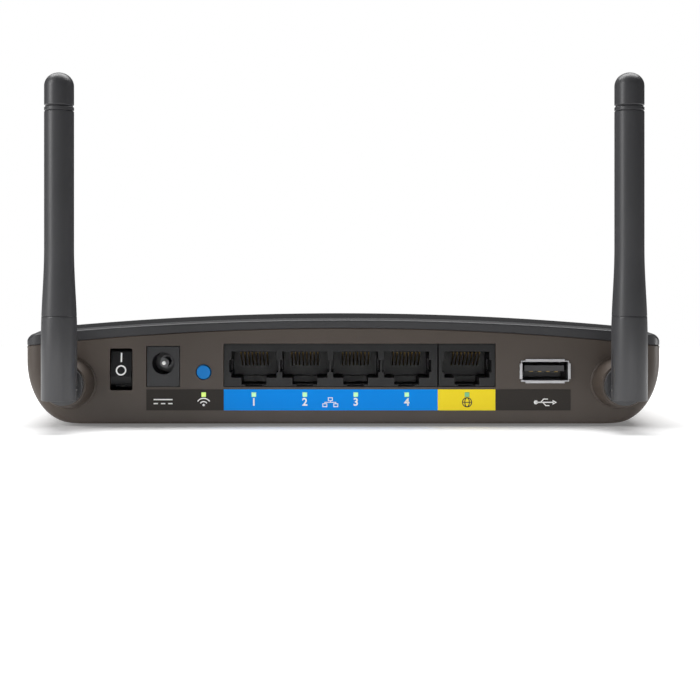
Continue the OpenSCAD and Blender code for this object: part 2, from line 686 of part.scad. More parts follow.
// Storage socket
usb_w = 13.1;
usb_tall = 5.7;
usb_wall = 0.3;
usb_back = 14;
lip_w = 0.72;
lip_h = 0.6;
lip_proud = 0.5;
module usb_shell() {
  half = usb_tall / 2;
  face = -lip_proud + usb_wall;
  color("silver") {
    difference() {
      slab(usb_x, usb_w, face, usb_back, usb_h, usb_tall);
      slab(usb_x, usb_w - 2 * usb_wall, -1, usb_back - usb_wall, usb_h, usb_tall - 2 * usb_wall);
    }
    for (s = [-1, 1]) {
      slab(usb_x, usb_w - 2.4, -lip_proud, face, usb_h + s * (half + lip_h / 2 - usb_wall / 2), lip_h);
      slab(usb_x + s * (usb_w / 2 + 0.05), lip_w, -lip_proud, face, usb_h, usb_tall - 1.5);
      block(usb_x + s * 4, 1.6, 6, 9, board_h, usb_h - half);
    }
  }
}
module usb_tongue() {
  color([0.2, 0.2, 0.2]) {
    block(usb_x, 11, 1.5, usb_back - 2, usb_h - 0.1, usb_h + 1.5);
    slab(usb_x, usb_w - 2 * usb_wall, usb_back - 2, usb_back - usb_wall, usb_h, usb_tall - 2 * usb_wall);
  }
}
module usb_contacts() {
  color("gold") for (i = [0:3])
    block(usb_x + (i - 1.5) * 2.3, 1, 2.4, usb_back - 2, usb_h - 0.35, usb_h - 0.1);
}

// Panel film and its lights
module port_film() {
  color([0, 0.51, 0.86]) difference() {
    block((film_x0 + film_x1) / 2, film_x1 - film_x0, -film_t, 0, film_z0, film_z1);
    for (x = window_xs) slab(x, window_w + seat_gap, -1, 1, window_h, window_w + seat_gap);
  }
}
pipe_end = 4;
module light_pipes() {
  color([0.8, 1, 0.8]) for (x = window_xs) slab(x, window_w, -film_t + 0.02, pipe_end, window_h, window_w);
}
module port_leds() {
  color([0.9, 0.95, 0.8]) for (x = window_xs)
    block(x, 1.6, pipe_end + 0.2, pipe_end + 1.4, window_h - window_w / 2, board_under);
}

// Board and what it carries
notch_w = 12;
notch_x = switch_x - switch_w / 2 - switch_cheek - 0.4;
module main_board() {
  color([0.05, 0.3, 0.15]) difference() {
    block(0, 2 * board_x, board_rear, board_rear + board_d, board_under, board_h);
    block(notch_x + notch_w / 2, notch_w, board_rear - 1, switch_back + 0.4, board_under - 1, board_h + 1);
    posts(board_screw_x, board_ds, board_screw_r + 0.3, board_under - 1, board_h + 1);
  }
}
module board_screws() {
  color("silver") for (s = [-1, 1], d = board_ds) difference() {
    union() {
      post(s * board_screw_x, d, 2.2, board_h, board_h + 1.4);
      post(s * board_screw_x, d, board_screw_r, wall + 1.5, board_h);
    }
    cross_recess(s * board_screw_x, d, board_h + 0.6, board_h + 1.5);
  }
}
chip_x = -4;
chip_d = 52;
chip_t = 1.2;
pad_t = 0.5;
sink_w = 30;
sink_base = 2;
sink_fin = 6;
fin_t = 1.1;
fin_pitch = (sink_w - fin_t) / 7;
module over_chip(x, w, long, z, high) {
  block(chip_x + x, w, chip_d - long / 2, chip_d + long / 2, z, z + high);
}
module processor() { color([0.1, 0.1, 0.1]) over_chip(0, 15, 15, board_h, chip_t); }
module thermal_pad() { color([0.6, 0.6, 0.7]) over_chip(0, 14, 14, board_h + chip_t, pad_t); }
module heat_sink() {
  z = board_h + chip_t + pad_t;
  color([0.7, 0.7, 0.72]) {
    over_chip(0, sink_w, sink_w, z, sink_base);
    for (i = [0:7]) over_chip((i - 3.5) * fin_pitch, fin_t, sink_w, z + sink_base, sink_fin);
  }
}
module memory_chips() {
  color([0.1, 0.1, 0.1]) {
    for (d = [46, 60]) block(20, 9, d - 5.5, d + 5.5, board_h, board_h + 1.1);
    block(-27, 6, 44, 52, board_h, board_h + 1.4);
  }
}
module crystal() { color("silver") block(-26, 5, 58, 69, board_h, board_h + 3.4); }
module radio_shields() {
  color([0.75, 0.75, 0.73]) for (s = [-1, 1]) difference() {
    block(s * 45, 22, 50, 76, board_h, board_h + 3);
    block(s * 45, 21.4, 50.3, 75.7, board_h - 1, board_h + 2.7);
  }
}
module radio_chips() {
  color([0.1, 0.1, 0.1]) for (s = [-1, 1]) block(s * 45, 9, 58, 67, board_h, board_h + 0.9);
}
module isolation_modules() {
  color([0.1, 0.1, 0.1]) for (x = concat(port_xs, [modem_x])) block(x, 11.5, 20, 27, board_h, board_h + 5.4);
}
module capacitors() {
  color([0.1, 0.12, 0.2]) {
    post(45, 24, 4, board_h, board_h + 11);
    post(45, 34, 4, board_h, board_h + 11);
    post(37, 32, 3.15, board_h, board_h + 8);
  }
}
module power_inductor() { color([0.25, 0.25, 0.25]) block(35, 9, 38, 47, board_h, board_h + 4.2); }

bottom_case();
top_cover();
top_inlay();
status_lens();
rubber_feet();
case_screws();
rating_film();
sided(1) swivel();  // right_swivel
sided(-1) swivel();  // left_swivel
sided(1) swivel_clip();  // right_swivel_clip
sided(-1) swivel_clip();  // left_swivel_clip
sided(1) hinge_pin();  // right_hinge_pin
sided(-1) hinge_pin();  // left_hinge_pin
sided(1) knuckle();  // right_knuckle
sided(-1) knuckle();  // left_knuckle
sided(1) whip();  // right_whip
sided(-1) whip();  // left_whip
sided(1) antenna_cap();  // right_antenna_cap
sided(-1) antenna_cap();  // left_antenna_cap
sided(1) radiator();  // right_radiator
sided(-1) radiator();  // left_radiator
pigtail();  // right_pigtail
flipped(-1) pigtail();  // left_pigtail
lead_plug();  // right_lead_plug
flipped(-1) lead_plug();  // left_lead_plug
switch_housing();
power_rocker();
switch_terminals();
inlet_housing();
inlet_pin();
inlet_contact();
pair_button();
pair_plunger();
pair_switch();
network_block();
network_contacts();
modem_jack();
modem_contacts();
usb_shell();
usb_tongue();
usb_contacts();
port_film();
light_pipes();
port_leds();
main_board();
board_screws();
processor();
thermal_pad();
heat_sink();
memory_chips();
crystal();
radio_shields();
radio_chips();
isolation_modules();
capacitors();
power_inductor();
reset_button();
reset_plunger();
reset_switch();
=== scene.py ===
# %% [markdown]
# # A wireless router, seen from its sockets
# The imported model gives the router's real pieces: a deep lower case, a shallow lid, two hinged
# antennas, and a row of sockets on a board. Blender adds what a solid modeller leaves plain:
# smooth shells with small rounded edges, printed marks, lights, and a finish for every piece.
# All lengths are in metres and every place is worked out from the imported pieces.

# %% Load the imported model
import json
from math import atan2, cos, pi, radians, sin, sqrt

import bmesh
import bpy
from mathutils import Matrix, Vector

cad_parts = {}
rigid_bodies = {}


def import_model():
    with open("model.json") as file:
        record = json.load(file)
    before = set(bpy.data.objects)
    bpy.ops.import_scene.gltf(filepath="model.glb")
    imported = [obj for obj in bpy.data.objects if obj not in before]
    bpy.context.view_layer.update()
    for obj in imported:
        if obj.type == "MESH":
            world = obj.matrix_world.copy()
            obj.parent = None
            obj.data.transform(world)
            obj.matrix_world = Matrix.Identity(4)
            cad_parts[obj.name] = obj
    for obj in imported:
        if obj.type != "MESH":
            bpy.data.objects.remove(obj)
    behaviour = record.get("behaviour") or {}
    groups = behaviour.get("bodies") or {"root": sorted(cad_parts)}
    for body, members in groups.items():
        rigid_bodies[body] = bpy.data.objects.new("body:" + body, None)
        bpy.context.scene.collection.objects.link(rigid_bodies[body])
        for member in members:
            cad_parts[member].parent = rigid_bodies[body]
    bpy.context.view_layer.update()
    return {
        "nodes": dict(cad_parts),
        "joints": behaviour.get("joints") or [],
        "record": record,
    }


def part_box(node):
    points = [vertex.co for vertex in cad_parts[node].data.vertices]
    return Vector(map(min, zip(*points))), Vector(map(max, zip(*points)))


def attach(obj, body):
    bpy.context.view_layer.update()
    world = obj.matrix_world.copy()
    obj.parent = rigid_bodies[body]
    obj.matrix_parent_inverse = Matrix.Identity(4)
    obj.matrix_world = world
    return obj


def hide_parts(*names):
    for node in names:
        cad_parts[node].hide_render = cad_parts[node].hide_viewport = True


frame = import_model()
mm = 0.001
nodes = frame["nodes"]

# %% [markdown]
# ## Places
# The pieces are placed from the rear panel's outer face and from the case's underside, so those
# two come first. A place is x across, d forward from the rear panel, and z above the underside.
# The film lies on the panel and the lower case starts at its underside, so their boxes give both.

# %% Datum faces of the case
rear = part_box("port_film")[0].y
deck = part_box("bottom_case")[0].z
half_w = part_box("top_cover")[1].x
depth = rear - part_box("top_cover")[0].y
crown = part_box("top_inlay")[1].z - deck
film_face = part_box("port_film")[1].y


def place(x, d, z):
    return Vector((x, rear - d, deck + z))


def middle(node):
    low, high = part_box(node)
    return (low + high) / 2


print("case", round(2 * half_w / mm, 1), "x", round(depth / mm, 1), "x", round(crown / mm, 1), "mm")

# %% [markdown]
# ## Camera
# A product picture of the socket side is taken level, from a little above the case, with a
# longish lens so that the two antennas stay parallel. The lens shift keeps the camera level
# while the object sits low in the frame; tilting the camera would lean the antennas instead.

# %% Camera behind the router
camera_data = bpy.data.cameras.new("camera")
camera_data.sensor_width = 36
camera_data.lens = 75.09
camera_data.shift_x = 0.0349
camera_data.shift_y = -0.0914
camera_data.clip_start = 0.01
camera = bpy.data.objects.new("camera", camera_data)
camera.location = (0.0049, rear + 0.4, 0.0385)
camera.rotation_euler = (radians(90), 0, radians(180))
bpy.context.collection.objects.link(camera)
bpy.context.scene.camera = camera
print("camera stands", round(camera.location.y - rear, 3), "m behind the panel")

# %% [markdown]
# ## Shader maths
# A finish is a small sum: a base value plus a little noise, with a step where one colour gives way
# to the next. Wiring each Math node by hand hides that sum, so a socket is wrapped in a class whose
# operators add the nodes. The rest comes from one method that takes a node's kind, its settings
# and its sockets.


# %% A socket that takes arithmetic, and a finish that makes nodes
class Signal:
    def __init__(self, finish, socket):
        self.finish = finish
        self.socket = socket

    def math(self, operation, left, right):
        return self.finish.node("ShaderNodeMath", {"operation": operation}, {0: left, 1: right})

    def __add__(self, other):
        return self.math("ADD", self, other)

    def __radd__(self, other):
        return self.math("ADD", other, self)

    def __sub__(self, other):
        return self.math("SUBTRACT", self, other)

    def __rsub__(self, other):
        return self.math("SUBTRACT", other, self)

    def __mul__(self, other):
        return self.math("MULTIPLY", self, other)

    def __rmul__(self, other):
        return self.math("MULTIPLY", other, self)

    def __gt__(self, other):
        return self.math("GREATER_THAN", self, other)


class Finish:
    def __init__(self, name):
        self.material = bpy.data.materials.new(name)
        self.material.use_nodes = True
        self.tree = self.material.node_tree
        self.shader = self.tree.nodes["Principled BSDF"]
        self.place = self.node("ShaderNodeTexCoord", out="Object")

    def node(self, kind, settings=None, sockets=None, out=0):
        made = self.tree.nodes.new(kind)
        for name, value in (settings or {}).items():
            setattr(made, name, value)
        for name, value in (sockets or {}).items():
            if isinstance(value, Signal):
                self.tree.links.new(value.socket, made.inputs[name])
            else:
                made.inputs[name].default_value = value
        return Signal(self, made.outputs[out])

    def noise(self, grain, detail=2.0, squeeze=(1, 1, 1)):
        """Soft noise from 0 to 1, its blotches one grain wide and narrower along a squeezed axis."""
        pulled = self.node("ShaderNodeMapping", {}, {"Vector": self.place, "Scale": squeeze})
        sockets = {"Vector": pulled, "Scale": 1 / grain, "Detail": detail}
        return self.node("ShaderNodeTexNoise", {}, sockets)

    def mix(self, share, first, second):
        sockets = {0: share, 6: first, 7: second}
        return self.node("ShaderNodeMix", {"data_type": "RGBA"}, sockets, out=2)

    def bump(self, height, strength, distance):
        sockets = {"Height": height, "Strength": strength, "Distance": distance}
        return self.node("ShaderNodeBump", {}, sockets)

    def axis(self, name):
        return self.node("ShaderNodeSeparateXYZ", {}, {"Vector": self.place}, out=name)

    def set(self, **sockets):
        for name, value in sockets.items():
            target = self.shader.inputs[name.replace("_", " ")]
            if isinstance(value, Signal):
                self.tree.links.new(value.socket, target)
            else:
                target.default_value = value
        return self.material


def paint(red, green, blue):
    """A colour given as screen values from 0 to 255, turned into the linear light that shaders use."""
    linear = []
    for c in (red, green, blue):
        linear.append(c / 255 / 12.92 if c <= 10 else ((c / 255 + 0.055) / 1.055) ** 2.4)
    return (*linear, 1)


print("finish maker ready")

# %% [markdown]
# ## Moulded plastics
# Nearly everything outside is injection-moulded plastic. The tool's spark-eroded surface leaves
# a fine grain, the colour drifts a little with the flow, and handling leaves rubbed patches. One
# function makes them all: base colour, how far it drifts, grain size and depth, and roughness.


# %% One function for every moulded plastic
def moulded(name, colour, grain, depth_of_grain, rough, drift=0.08, coat=0.0, glint=0.45):
    finish = Finish(name)
    flow = finish.noise(14 * mm, 3)
    fine = finish.noise(grain, 2)
    dark = tuple(c * (1 - drift) for c in colour[:3]) + (1,)
    light = tuple(min(1, c * (1 + drift)) for c in colour[:3]) + (1,)
    speckle = flow * 0.5 + fine * 0.5
    rubbed = finish.noise(5 * mm, 4)
    return finish.set(
        Base_Color=finish.mix(speckle, dark, light),
        Roughness=rough - 0.05 + rubbed * 0.1,
        Normal=finish.bump(fine, 0.5, depth_of_grain),
        Coat_Weight=coat,
        Specular_IOR_Level=glint,
    )


case_finish = moulded("case_shell", paint(74, 65, 58), 0.22 * mm, 0.03 * mm, 0.5)
lid_finish = moulded("lid_shell", paint(55, 55, 57), 0.3 * mm, 0.05 * mm, 0.42)
inlay_finish = moulded("lid_inlay", paint(38, 38, 40), 0.15 * mm, 0.01 * mm, 0.24, coat=0.3)
antenna_finish = moulded("antenna", paint(66, 66, 68), 0.2 * mm, 0.02 * mm, 0.38)
jack_finish = moulded("jack_plastic", paint(20, 20, 21), 0.2 * mm, 0.02 * mm, 0.4, glint=0.3)
inlet_finish = moulded("inlet_plastic", paint(42, 42, 44), 0.2 * mm, 0.02 * mm, 0.4, glint=0.35)
rocker_finish = moulded("rocker_plastic", paint(27, 27, 28), 0.2 * mm, 0.015 * mm, 0.36)
tongue_finish = moulded("tongue_plastic", paint(60, 60, 62), 0.2 * mm, 0.02 * mm, 0.4)
blue_finish = moulded("button_blue", paint(0, 124, 204), 0.2 * mm, 0.01 * mm, 0.34, glint=0.15)
red_finish = moulded("button_red", paint(176, 34, 30), 0.2 * mm, 0.01 * mm, 0.36)
rubber_finish = moulded("foot_rubber", paint(26, 26, 27), 0.35 * mm, 0.06 * mm, 0.8)
chip_finish = moulded("chip", paint(30, 30, 31), 0.12 * mm, 0.02 * mm, 0.5)
pad_finish = moulded("pad", paint(150, 152, 166), 0.3 * mm, 0.05 * mm, 0.7)
sleeve_finish = moulded("capacitor_sleeve", paint(34, 38, 58), 0.3 * mm, 0.01 * mm, 0.3)
lead_finish = moulded("lead_jacket", paint(34, 34, 35), 0.3 * mm, 0.02 * mm, 0.45)
print("moulded finishes:", len([m for m in bpy.data.materials if m.use_nodes]))

# %% [markdown]
# ## Metals
# Contacts are gold over nickel, shells and screws are plated steel, and the heat sink is brushed
# aluminium. Rolled sheet keeps fine lines along one direction, so the noise is squeezed across
# them, and fingerprints and oxide show as soft changes of roughness with a slightly duller colour.


# %% One function for every metal
def metal(name, colour, rough, squeeze=(1, 1, 1), grain=0.4 * mm, lines=0.01 * mm):
    finish = Finish(name)
    sheet_lines = finish.noise(grain, 3, squeeze)
    smudge = finish.noise(3 * mm, 3)
    dull = tuple(c * 0.8 for c in colour[:3]) + (1,)
    return finish.set(
        Metallic=1.0,
        Base_Color=finish.mix(smudge, dull, colour),
        Roughness=rough - 0.06 + smudge * 0.12,
        Normal=finish.bump(sheet_lines, 0.4, lines),
    )


gold_finish = metal("contact_gold", paint(150, 128, 84), 0.42)
shell_finish = metal("socket_shell", paint(168, 168, 170), 0.36, (1, 12, 1))
steel_finish = metal("plated_steel", paint(222, 222, 220), 0.25, (1, 12, 1))
sink_finish = metal("sink", paint(196, 198, 202), 0.36, (1, 14, 1))
copper_finish = metal("radiator_copper", paint(206, 140, 96), 0.34, (1, 1, 10))
print("metals made")

# %% [markdown]
# ## Panel film
# A printed film under the sockets codes them by colour: blue under the network sockets, yellow
# under the modem socket, and charcoal at both ends. It could be four pieces, but the real one is
# a single sheet, so the colour changes with x inside one material, at the socket blocks' edges.


# %% Film, printed in bands
def band_film():
    finish = Finish("panel_film")
    across = finish.axis("X")
    blue_low, blue_high = (corner.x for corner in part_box("network_block"))
    yellow_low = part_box("modem_jack")[0].x
    weave = finish.noise(0.25 * mm, 2)
    charcoal = finish.mix(weave, paint(50, 47, 44), paint(60, 56, 53))
    blue = finish.mix(weave, paint(0, 140, 236), paint(0, 146, 244))
    yellow = finish.mix(weave, paint(255, 226, 40), paint(255, 232, 52))
    colour = finish.mix(across > yellow_low, charcoal, yellow)
    colour = finish.mix(across > blue_low, colour, blue)
    colour = finish.mix(across > blue_high, colour, charcoal)
    return finish.set(
        Base_Color=colour,
        Roughness=0.42 + weave * 0.1,
        Specular_IOR_Level=0.1,
        Normal=finish.bump(weave, 0.3, 0.01 * mm),
    )


film_finish = band_film()
label_finish = moulded("rating_film", paint(190, 190, 188), 0.2 * mm, 0.005 * mm, 0.4)

# %% [markdown]
# ## The inlet's pin
# The pin is turned steel. Its small nose is painted near white as a painted highlight, while its shank
# keeps a dull grey, so one material splits into two by depth.

# %% Pin
# Depth behind the panel's face within which the pin is painted near white as a highlight.
painted_highlight_depth = 3.1 * mm


def pin_with_painted_highlight():
    finish = Finish("inlet_pin")
    scuff = finish.noise(0.2 * mm, 2)
    # Painted highlight: the part of the pin nearest the panel's face is coloured near white.
    nose = finish.axis("Y") > rear - painted_highlight_depth
    return finish.set(
        Base_Color=finish.mix(nose, paint(92, 92, 94), paint(250, 250, 248)),
        Metallic=1.0,
        Roughness=0.4 + nose * 0.15 + scuff * 0.05,
        Normal=finish.bump(scuff, 0.3, 0.005 * mm),
    )


pin_finish = pin_with_painted_highlight()
print("pin nose begins", round(painted_highlight_depth / mm, 2), "mm behind the panel's face")

# %% [markdown]
# ## Lights
# Six clear pipes carry light from the board to the film. The four network lights glow pale green,
# the pairing light is a warmer, stronger green, and the modem light is dimmer. The pipes are one
# piece, so the glow's colour changes with x as well. Its strength stays a plain number. The lens
# on the lid is frosted and unlit, so it is only a pale, glossy plastic.


# %% Light pipes and the status lens
def glowing_pipes():
    finish = Finish("light_pipe")
    across = finish.axis("X")
    cloud = finish.noise(0.5 * mm, 2)
    pale = finish.mix(cloud, paint(150, 226, 158), paint(196, 246, 190))
    modem_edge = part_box("network_block")[0].x
    pair_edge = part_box("pair_button")[0].x
    colour = finish.mix(across > modem_edge, paint(104, 170, 112), pale)
    colour = finish.mix(across > pair_edge, colour, paint(214, 250, 120))
    return finish.set(
        Base_Color=colour,
        Emission_Color=colour,
        Emission_Strength=0.35,
        Roughness=0.3 + cloud * 0.1,
        Normal=finish.bump(cloud, 0.2, 0.01 * mm),
    )


def frosted_lens():
    finish = Finish("lens")
    cloud = finish.noise(0.8 * mm, 2)
    return finish.set(
        Base_Color=finish.mix(cloud, paint(196, 204, 210), paint(222, 228, 232)),
        Roughness=0.2 + cloud * 0.15,
        Normal=finish.bump(cloud, 0.2, 0.01 * mm),
        Coat_Weight=0.5,
    )


pipe_finish = glowing_pipes()
lens_finish = frosted_lens()
print("pipes glow, lens made")

# %% [markdown]
# ## Circuit board
# A board is glass cloth under green lacquer. Copper under the lacquer shows as lighter, slightly
# raised tracks. Drawing real tracks would be geometry nobody sees, so a Voronoi pattern with
# square cells gives straight track edges, and a fine weave of noise gives the cloth.


# %% Board lacquer with tracks
def board_lacquer():
    finish = Finish("board")
    cells = {"Vector": finish.place, "Scale": 1 / (2.4 * mm)}
    squares = {"distance": "CHEBYCHEV", "feature": "F1"}
    track = finish.node("ShaderNodeTexVoronoi", squares, cells, out="Distance") > 0.42
    cloth = finish.noise(0.3 * mm, 1)
    lacquer = finish.mix(cloth, paint(12, 62, 36), paint(16, 72, 42))
    return finish.set(
        Base_Color=finish.mix(track, lacquer, paint(34, 104, 60)),
        Roughness=0.28 + cloth * 0.15,
        Normal=finish.bump(track, 0.5, 0.03 * mm),
    )


board_finish = board_lacquer()
print("board made")

# %% [markdown]
# ## Inks
# Signs and numbers are screen-printed, white on the dark and blue bands and dark on the yellow
# one. Ink dries as a thin, slightly uneven coat, so both get a fine speckle. One function with
# two colours keeps the two inks alike.


# %% One function for both inks
def ink(name, thin, full):
    finish = Finish(name)
    speck = finish.noise(0.15 * mm, 2)
    return finish.set(
        Base_Color=finish.mix(speck, thin, full),
        Roughness=0.5 + speck * 0.15,
        Normal=finish.bump(speck, 0.3, 0.01 * mm),
    )


ink_finish = ink("ink_white", paint(244, 244, 242), paint(255, 255, 253))
dark_ink_finish = ink("ink_dark", paint(40, 38, 34), paint(58, 54, 48))
print("inks made")

# %% [markdown]
# ## The case outline
# Seen from above, the case has a straight rear, sides that bow slightly, round front corners
# and a bowed front. Four arcs that meet smoothly describe it. Sampling them densely gives clean
# rings for lofting, where a Bezier outline would have to be tuned until it met the corners.

# %% Arcs of the outline
side_bow = 3 * mm
front_bow = 6 * mm
front_corner = 22 * mm
rear_corner = 4 * mm
wall = 2 * mm
side_r = ((depth / 2) ** 2 + side_bow**2) / (2 * side_bow)
front_r = ((half_w - front_corner) ** 2 + front_bow**2) / (2 * front_bow)
side_c = Vector((half_w - side_r, depth / 2))
front_c = Vector((0, depth - front_r))


def meet(c1, r1, c2, r2):
    """Where two circles cross, on the right-hand side."""
    gap = (c2 - c1).length
    along = (c2 - c1) / gap
    a = (r1 * r1 - r2 * r2 + gap * gap) / (2 * gap)
    return c1 + a * along - sqrt(r1 * r1 - a * a) * Vector((-along.y, along.x))


corner_c = meet(front_c, front_r - front_corner, side_c, side_r - front_corner)


def bearing(v):
    return atan2(v.y, v.x)


def arc(centre, radius, start, stop, steps):
    turns = [start + (stop - start) * i / steps for i in range(steps + 1)]
    return [centre + radius * Vector((cos(t), sin(t))) for t in turns]


def outline(inset, back, corner=rear_corner):
    """Closed plan outline: sides and front moved in by inset, rear by back."""
    q = Vector((0, back + corner))
    q.x = side_c.x + sqrt((side_r - inset - corner) ** 2 - (depth / 2 - back - corner) ** 2)
    front_to_corner = bearing(corner_c - front_c)
    corner_to_side = bearing(corner_c - side_c)
    half = arc(front_c, front_r - inset, pi / 2, front_to_corner, 24)
    half += arc(corner_c, front_corner - inset, front_to_corner, corner_to_side, 20)[1:]
    half += arc(side_c, side_r - inset, corner_to_side, bearing(q - side_c), 24)[1:]
    half += arc(q, corner, bearing(q - side_c), -pi / 2, 8)[1:]
    half += [Vector((q.x * (1 - i / 24), back)) for i in range(1, 25)]
    return half + [Vector((-p.x, p.y)) for p in reversed(half[1:-1])]


print("outline points:", len(outline(0, 0)))

# %% [markdown]
# ## Heights over the outline
# The lid is a shallow arch across the case that also falls away to the front and rear. The seam
# lies lower and bows a little more than the lid's top, so the lid's visible edge grows towards
# the sides. One function gives the height anywhere, with the bow as a setting, so lid, seam and
# inlay can't drift apart.

# %% The lid's surface
arch_r = 770 * mm
sweep_r = 1000 * mm
crown_d = 42 * mm
lid_edge = 2.25 * mm
seam = crown - lid_edge


def roof(top, bow=arch_r):
    """Height function of an arched surface whose highest point is at top; bow is its radius across."""

    def height(p):
        drop = bow - sqrt(bow**2 - p.x**2)
        return top - sweep_r + sqrt((sweep_r - drop) ** 2 - (p.y - crown_d) ** 2)

    return height


def level(z):
    return lambda p: z


def lift(points, height):
    return [place(p.x, p.y, height(p)) for p in points]


def shrink(points, share):
    """The outline drawn in towards the middle of the case."""
    centre = Vector((0, depth / 2))
    return [centre + share * (p - centre) for p in points]


print("seam at the rear:", round(roof(seam)(Vector((0, 0))) / mm, 2), "mm")

# %% [markdown]
# ## From rings to a skin
# A shell is a stack of rings joined by quads and closed at both ends. bmesh does this directly:
# it keeps every ring where the design wants an edge, so rounded lips stay crisp, where a
# subdivision surface would need holding loops everywhere.


# %% Lofting and piece making
def skin(rings):
    """Closed mesh through rings of equal length, ending in a fan at each end."""
    shell = bmesh.new()
    made = [[shell.verts.new(p) for p in ring] for ring in rings]
    count = len(made[0])
    for low, high in zip(made, made[1:]):
        for i in range(count):
            j = (i + 1) % count
            shell.faces.new((low[i], low[j], high[j], high[i]))
    for ring, order in ((made[0], -1), (made[-1], 1)):
        hub = shell.verts.new(sum((v.co for v in ring), Vector()) / count)
        for i in range(count):
            shell.faces.new((ring[i], ring[(i + 1) % count], hub)[::order])
    bmesh.ops.recalc_face_normals(shell, faces=shell.faces)
    return shell


def piece(name, shell, finish, body="case", sharp=32):
    """A named object that rides a body, smooth except where faces meet at more than sharp degrees."""
    mesh = bpy.data.meshes.new(name)
    shell.to_mesh(mesh)
    shell.free()
    made = bpy.data.objects.new(name, mesh)
    bpy.context.collection.objects.link(made)
    mesh.materials.append(finish)
    mesh.shade_smooth()
    mesh.set_sharp_from_angle(angle=radians(sharp))
    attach(made, body)
    return made


def settle(made):
    """Turns a piece's modifiers into mesh, so that the mesh holds what is seen."""
    seen = bpy.context.evaluated_depsgraph_get()
    final = bpy.data.meshes.new_from_object(made.evaluated_get(seen))
    made.modifiers.clear()
    old = made.data
    made.data = final
    bpy.data.meshes.remove(old)


def cut(made, shell, operation="DIFFERENCE"):
    """Joins or removes a closed mesh with an exact boolean."""
    mesh = bpy.data.meshes.new("tool")
    shell.to_mesh(mesh)
    shell.free()
    tool = bpy.data.objects.new("tool", mesh)
    bpy.context.collection.objects.link(tool)
    step = made.modifiers.new("cut", "BOOLEAN")
    step.operation = operation
    step.solver = "EXACT"
    step.object = tool
    bpy.context.view_layer.update()
    settle(made)
    bpy.data.objects.remove(tool)
    bpy.data.meshes.remove(mesh)


def finish_edges(made, sharp=32):
    """Marks creases after cutting, and lets the large flat faces rule the shading."""
    made.data.shade_smooth()
    made.data.set_sharp_from_angle(angle=radians(sharp))
    rule = made.modifiers.new("rule", "WEIGHTED_NORMAL")
    rule.keep_sharp = True
    rule.weight = 100
    settle(made)


print("loft, cut and finish helpers ready")

# %% [markdown]
# ## Turned and cut-out shapes
# Holes, bosses and pillars are round; openings and slots are flat outlines pushed through the
# wall. Both are made here as closed meshes that add themselves to one tool, so that a whole
# panel of holes is cut in a single boolean. A tool starts a little past the face it cuts, because
# two faces in the same plane make a boolean unsure.

# %% Lathe and prism
past = 1 * mm


def turned(shell, profile, foot, axis, steps=64):
    """Adds a solid of revolution: profile is (radius, height) pairs up the axis from foot."""
    axis = Vector(axis).normalized()
    side = axis.orthogonal().normalized()
    across = axis.cross(side)
    rings = []
    for radius, height in profile:
        centre = Vector(foot) + axis * height
        if radius == 0:
            rings.append([shell.verts.new(centre)])
            continue
        spins = [2 * pi * i / steps for i in range(steps)]
        spokes = [cos(t) * side + sin(t) * across for t in spins]
        rings.append([shell.verts.new(centre + radius * spoke) for spoke in spokes])
    for low, high in zip(rings, rings[1:]):
        for i in range(steps):
            j = (i + 1) % steps
            corners = [low[i % len(low)], low[j % len(low)], high[j % len(high)], high[i % len(high)]]
            shell.faces.new(list(dict.fromkeys(corners)))
    return shell


def rod(shell, radius, low, high, foot, axis, steps=48):
    return turned(shell, [(0, low), (radius, low), (radius, high), (0, high)], foot, axis, steps)


def pushed(shell, points, push):
    """Adds a prism: a closed outline of 3D points pushed along a vector."""
    count = len(points)
    near = [shell.verts.new(p) for p in points]
    far = [shell.verts.new(p + push) for p in points]
    shell.faces.new(near[::-1])
    shell.faces.new(far)
    for i in range(count):
        j = (i + 1) % count
        shell.faces.new((near[i], near[j], far[j], far[i]))
    return shell


def rounded(width, height, radius, steps=5):
    """Outline of a rectangle with round corners, centred on the origin."""
    points = []
    for k, (sx, sy) in enumerate(((1, 1), (-1, 1), (-1, -1), (1, -1))):
        centre = Vector((sx * (width / 2 - radius), sy * (height / 2 - radius)))
        points += arc(centre, radius, k * pi / 2, (k + 1) * pi / 2, steps)
    return points


def window(shell, x, z, width, height, radius):
    """Adds an opening through the rear panel, with z measured in the model."""
    edge = rounded(width, height, radius)
    face = [Vector((x + p.x, rear + past, z + p.y)) for p in edge]
    return pushed(shell, face, Vector((0, -past - wall - past, 0)))


def upright(shell, points, low, high):
    """Adds a vertical prism over a plan outline given in model x and y."""
    return pushed(shell, [Vector((p.x, p.y, low)) for p in points], Vector((0, 0, high - low)))


def square(shell):
    bmesh.ops.recalc_face_normals(shell, faces=shell.faces)
    return shell


print("turning and pushing ready")

# %% [markdown]
# ## Lower case
# The lower case is a tray: flat underneath, with a long elliptical keel that makes it look thin
# from the front and sides, a flat rear panel, and upright walls to the seam. The rings climb the
# outside, cross the rim with a tiny chamfer that draws the seam line, and go back down inside.

# %% Lower case skin
keel_w = 12.5 * mm
keel_h = 17.2 * mm
lip = 0.22 * mm
heel = 0.35 * mm


def keel(thick, steps=20):
    """Rings of the rounded keel, from the underside up, for the outside or for the inside."""
    rings = []
    for i in range(steps, -1, -1):
        a = pi / 2 * i / steps
        z = keel_h - (keel_h - thick) * sin(a)
        back = thick + max(0, heel - z)
        rings.append(lift(outline(thick + (keel_w - thick) * (1 - cos(a)), back), level(z)))
    return rings


outside = keel(0) + [lift(outline(0, 0), roof(seam - lip)), lift(outline(lip, lip), roof(seam))]
inside = [lift(outline(wall, wall), roof(seam))] + keel(wall)[::-1]
tray = piece("lower_case", skin(outside + inside), case_finish)
print("lower case rings:", len(outside) + len(inside))

# %% [markdown]
# ## Bosses and pillars
# Two tapered bosses on the panel carry the antenna swivels, each with a thin ring at its foot that
# catches a line of light. Inside, pillars take the case screws and short posts carry the board.
# They are joined first, so that the bores that follow pass through wall and boss together.

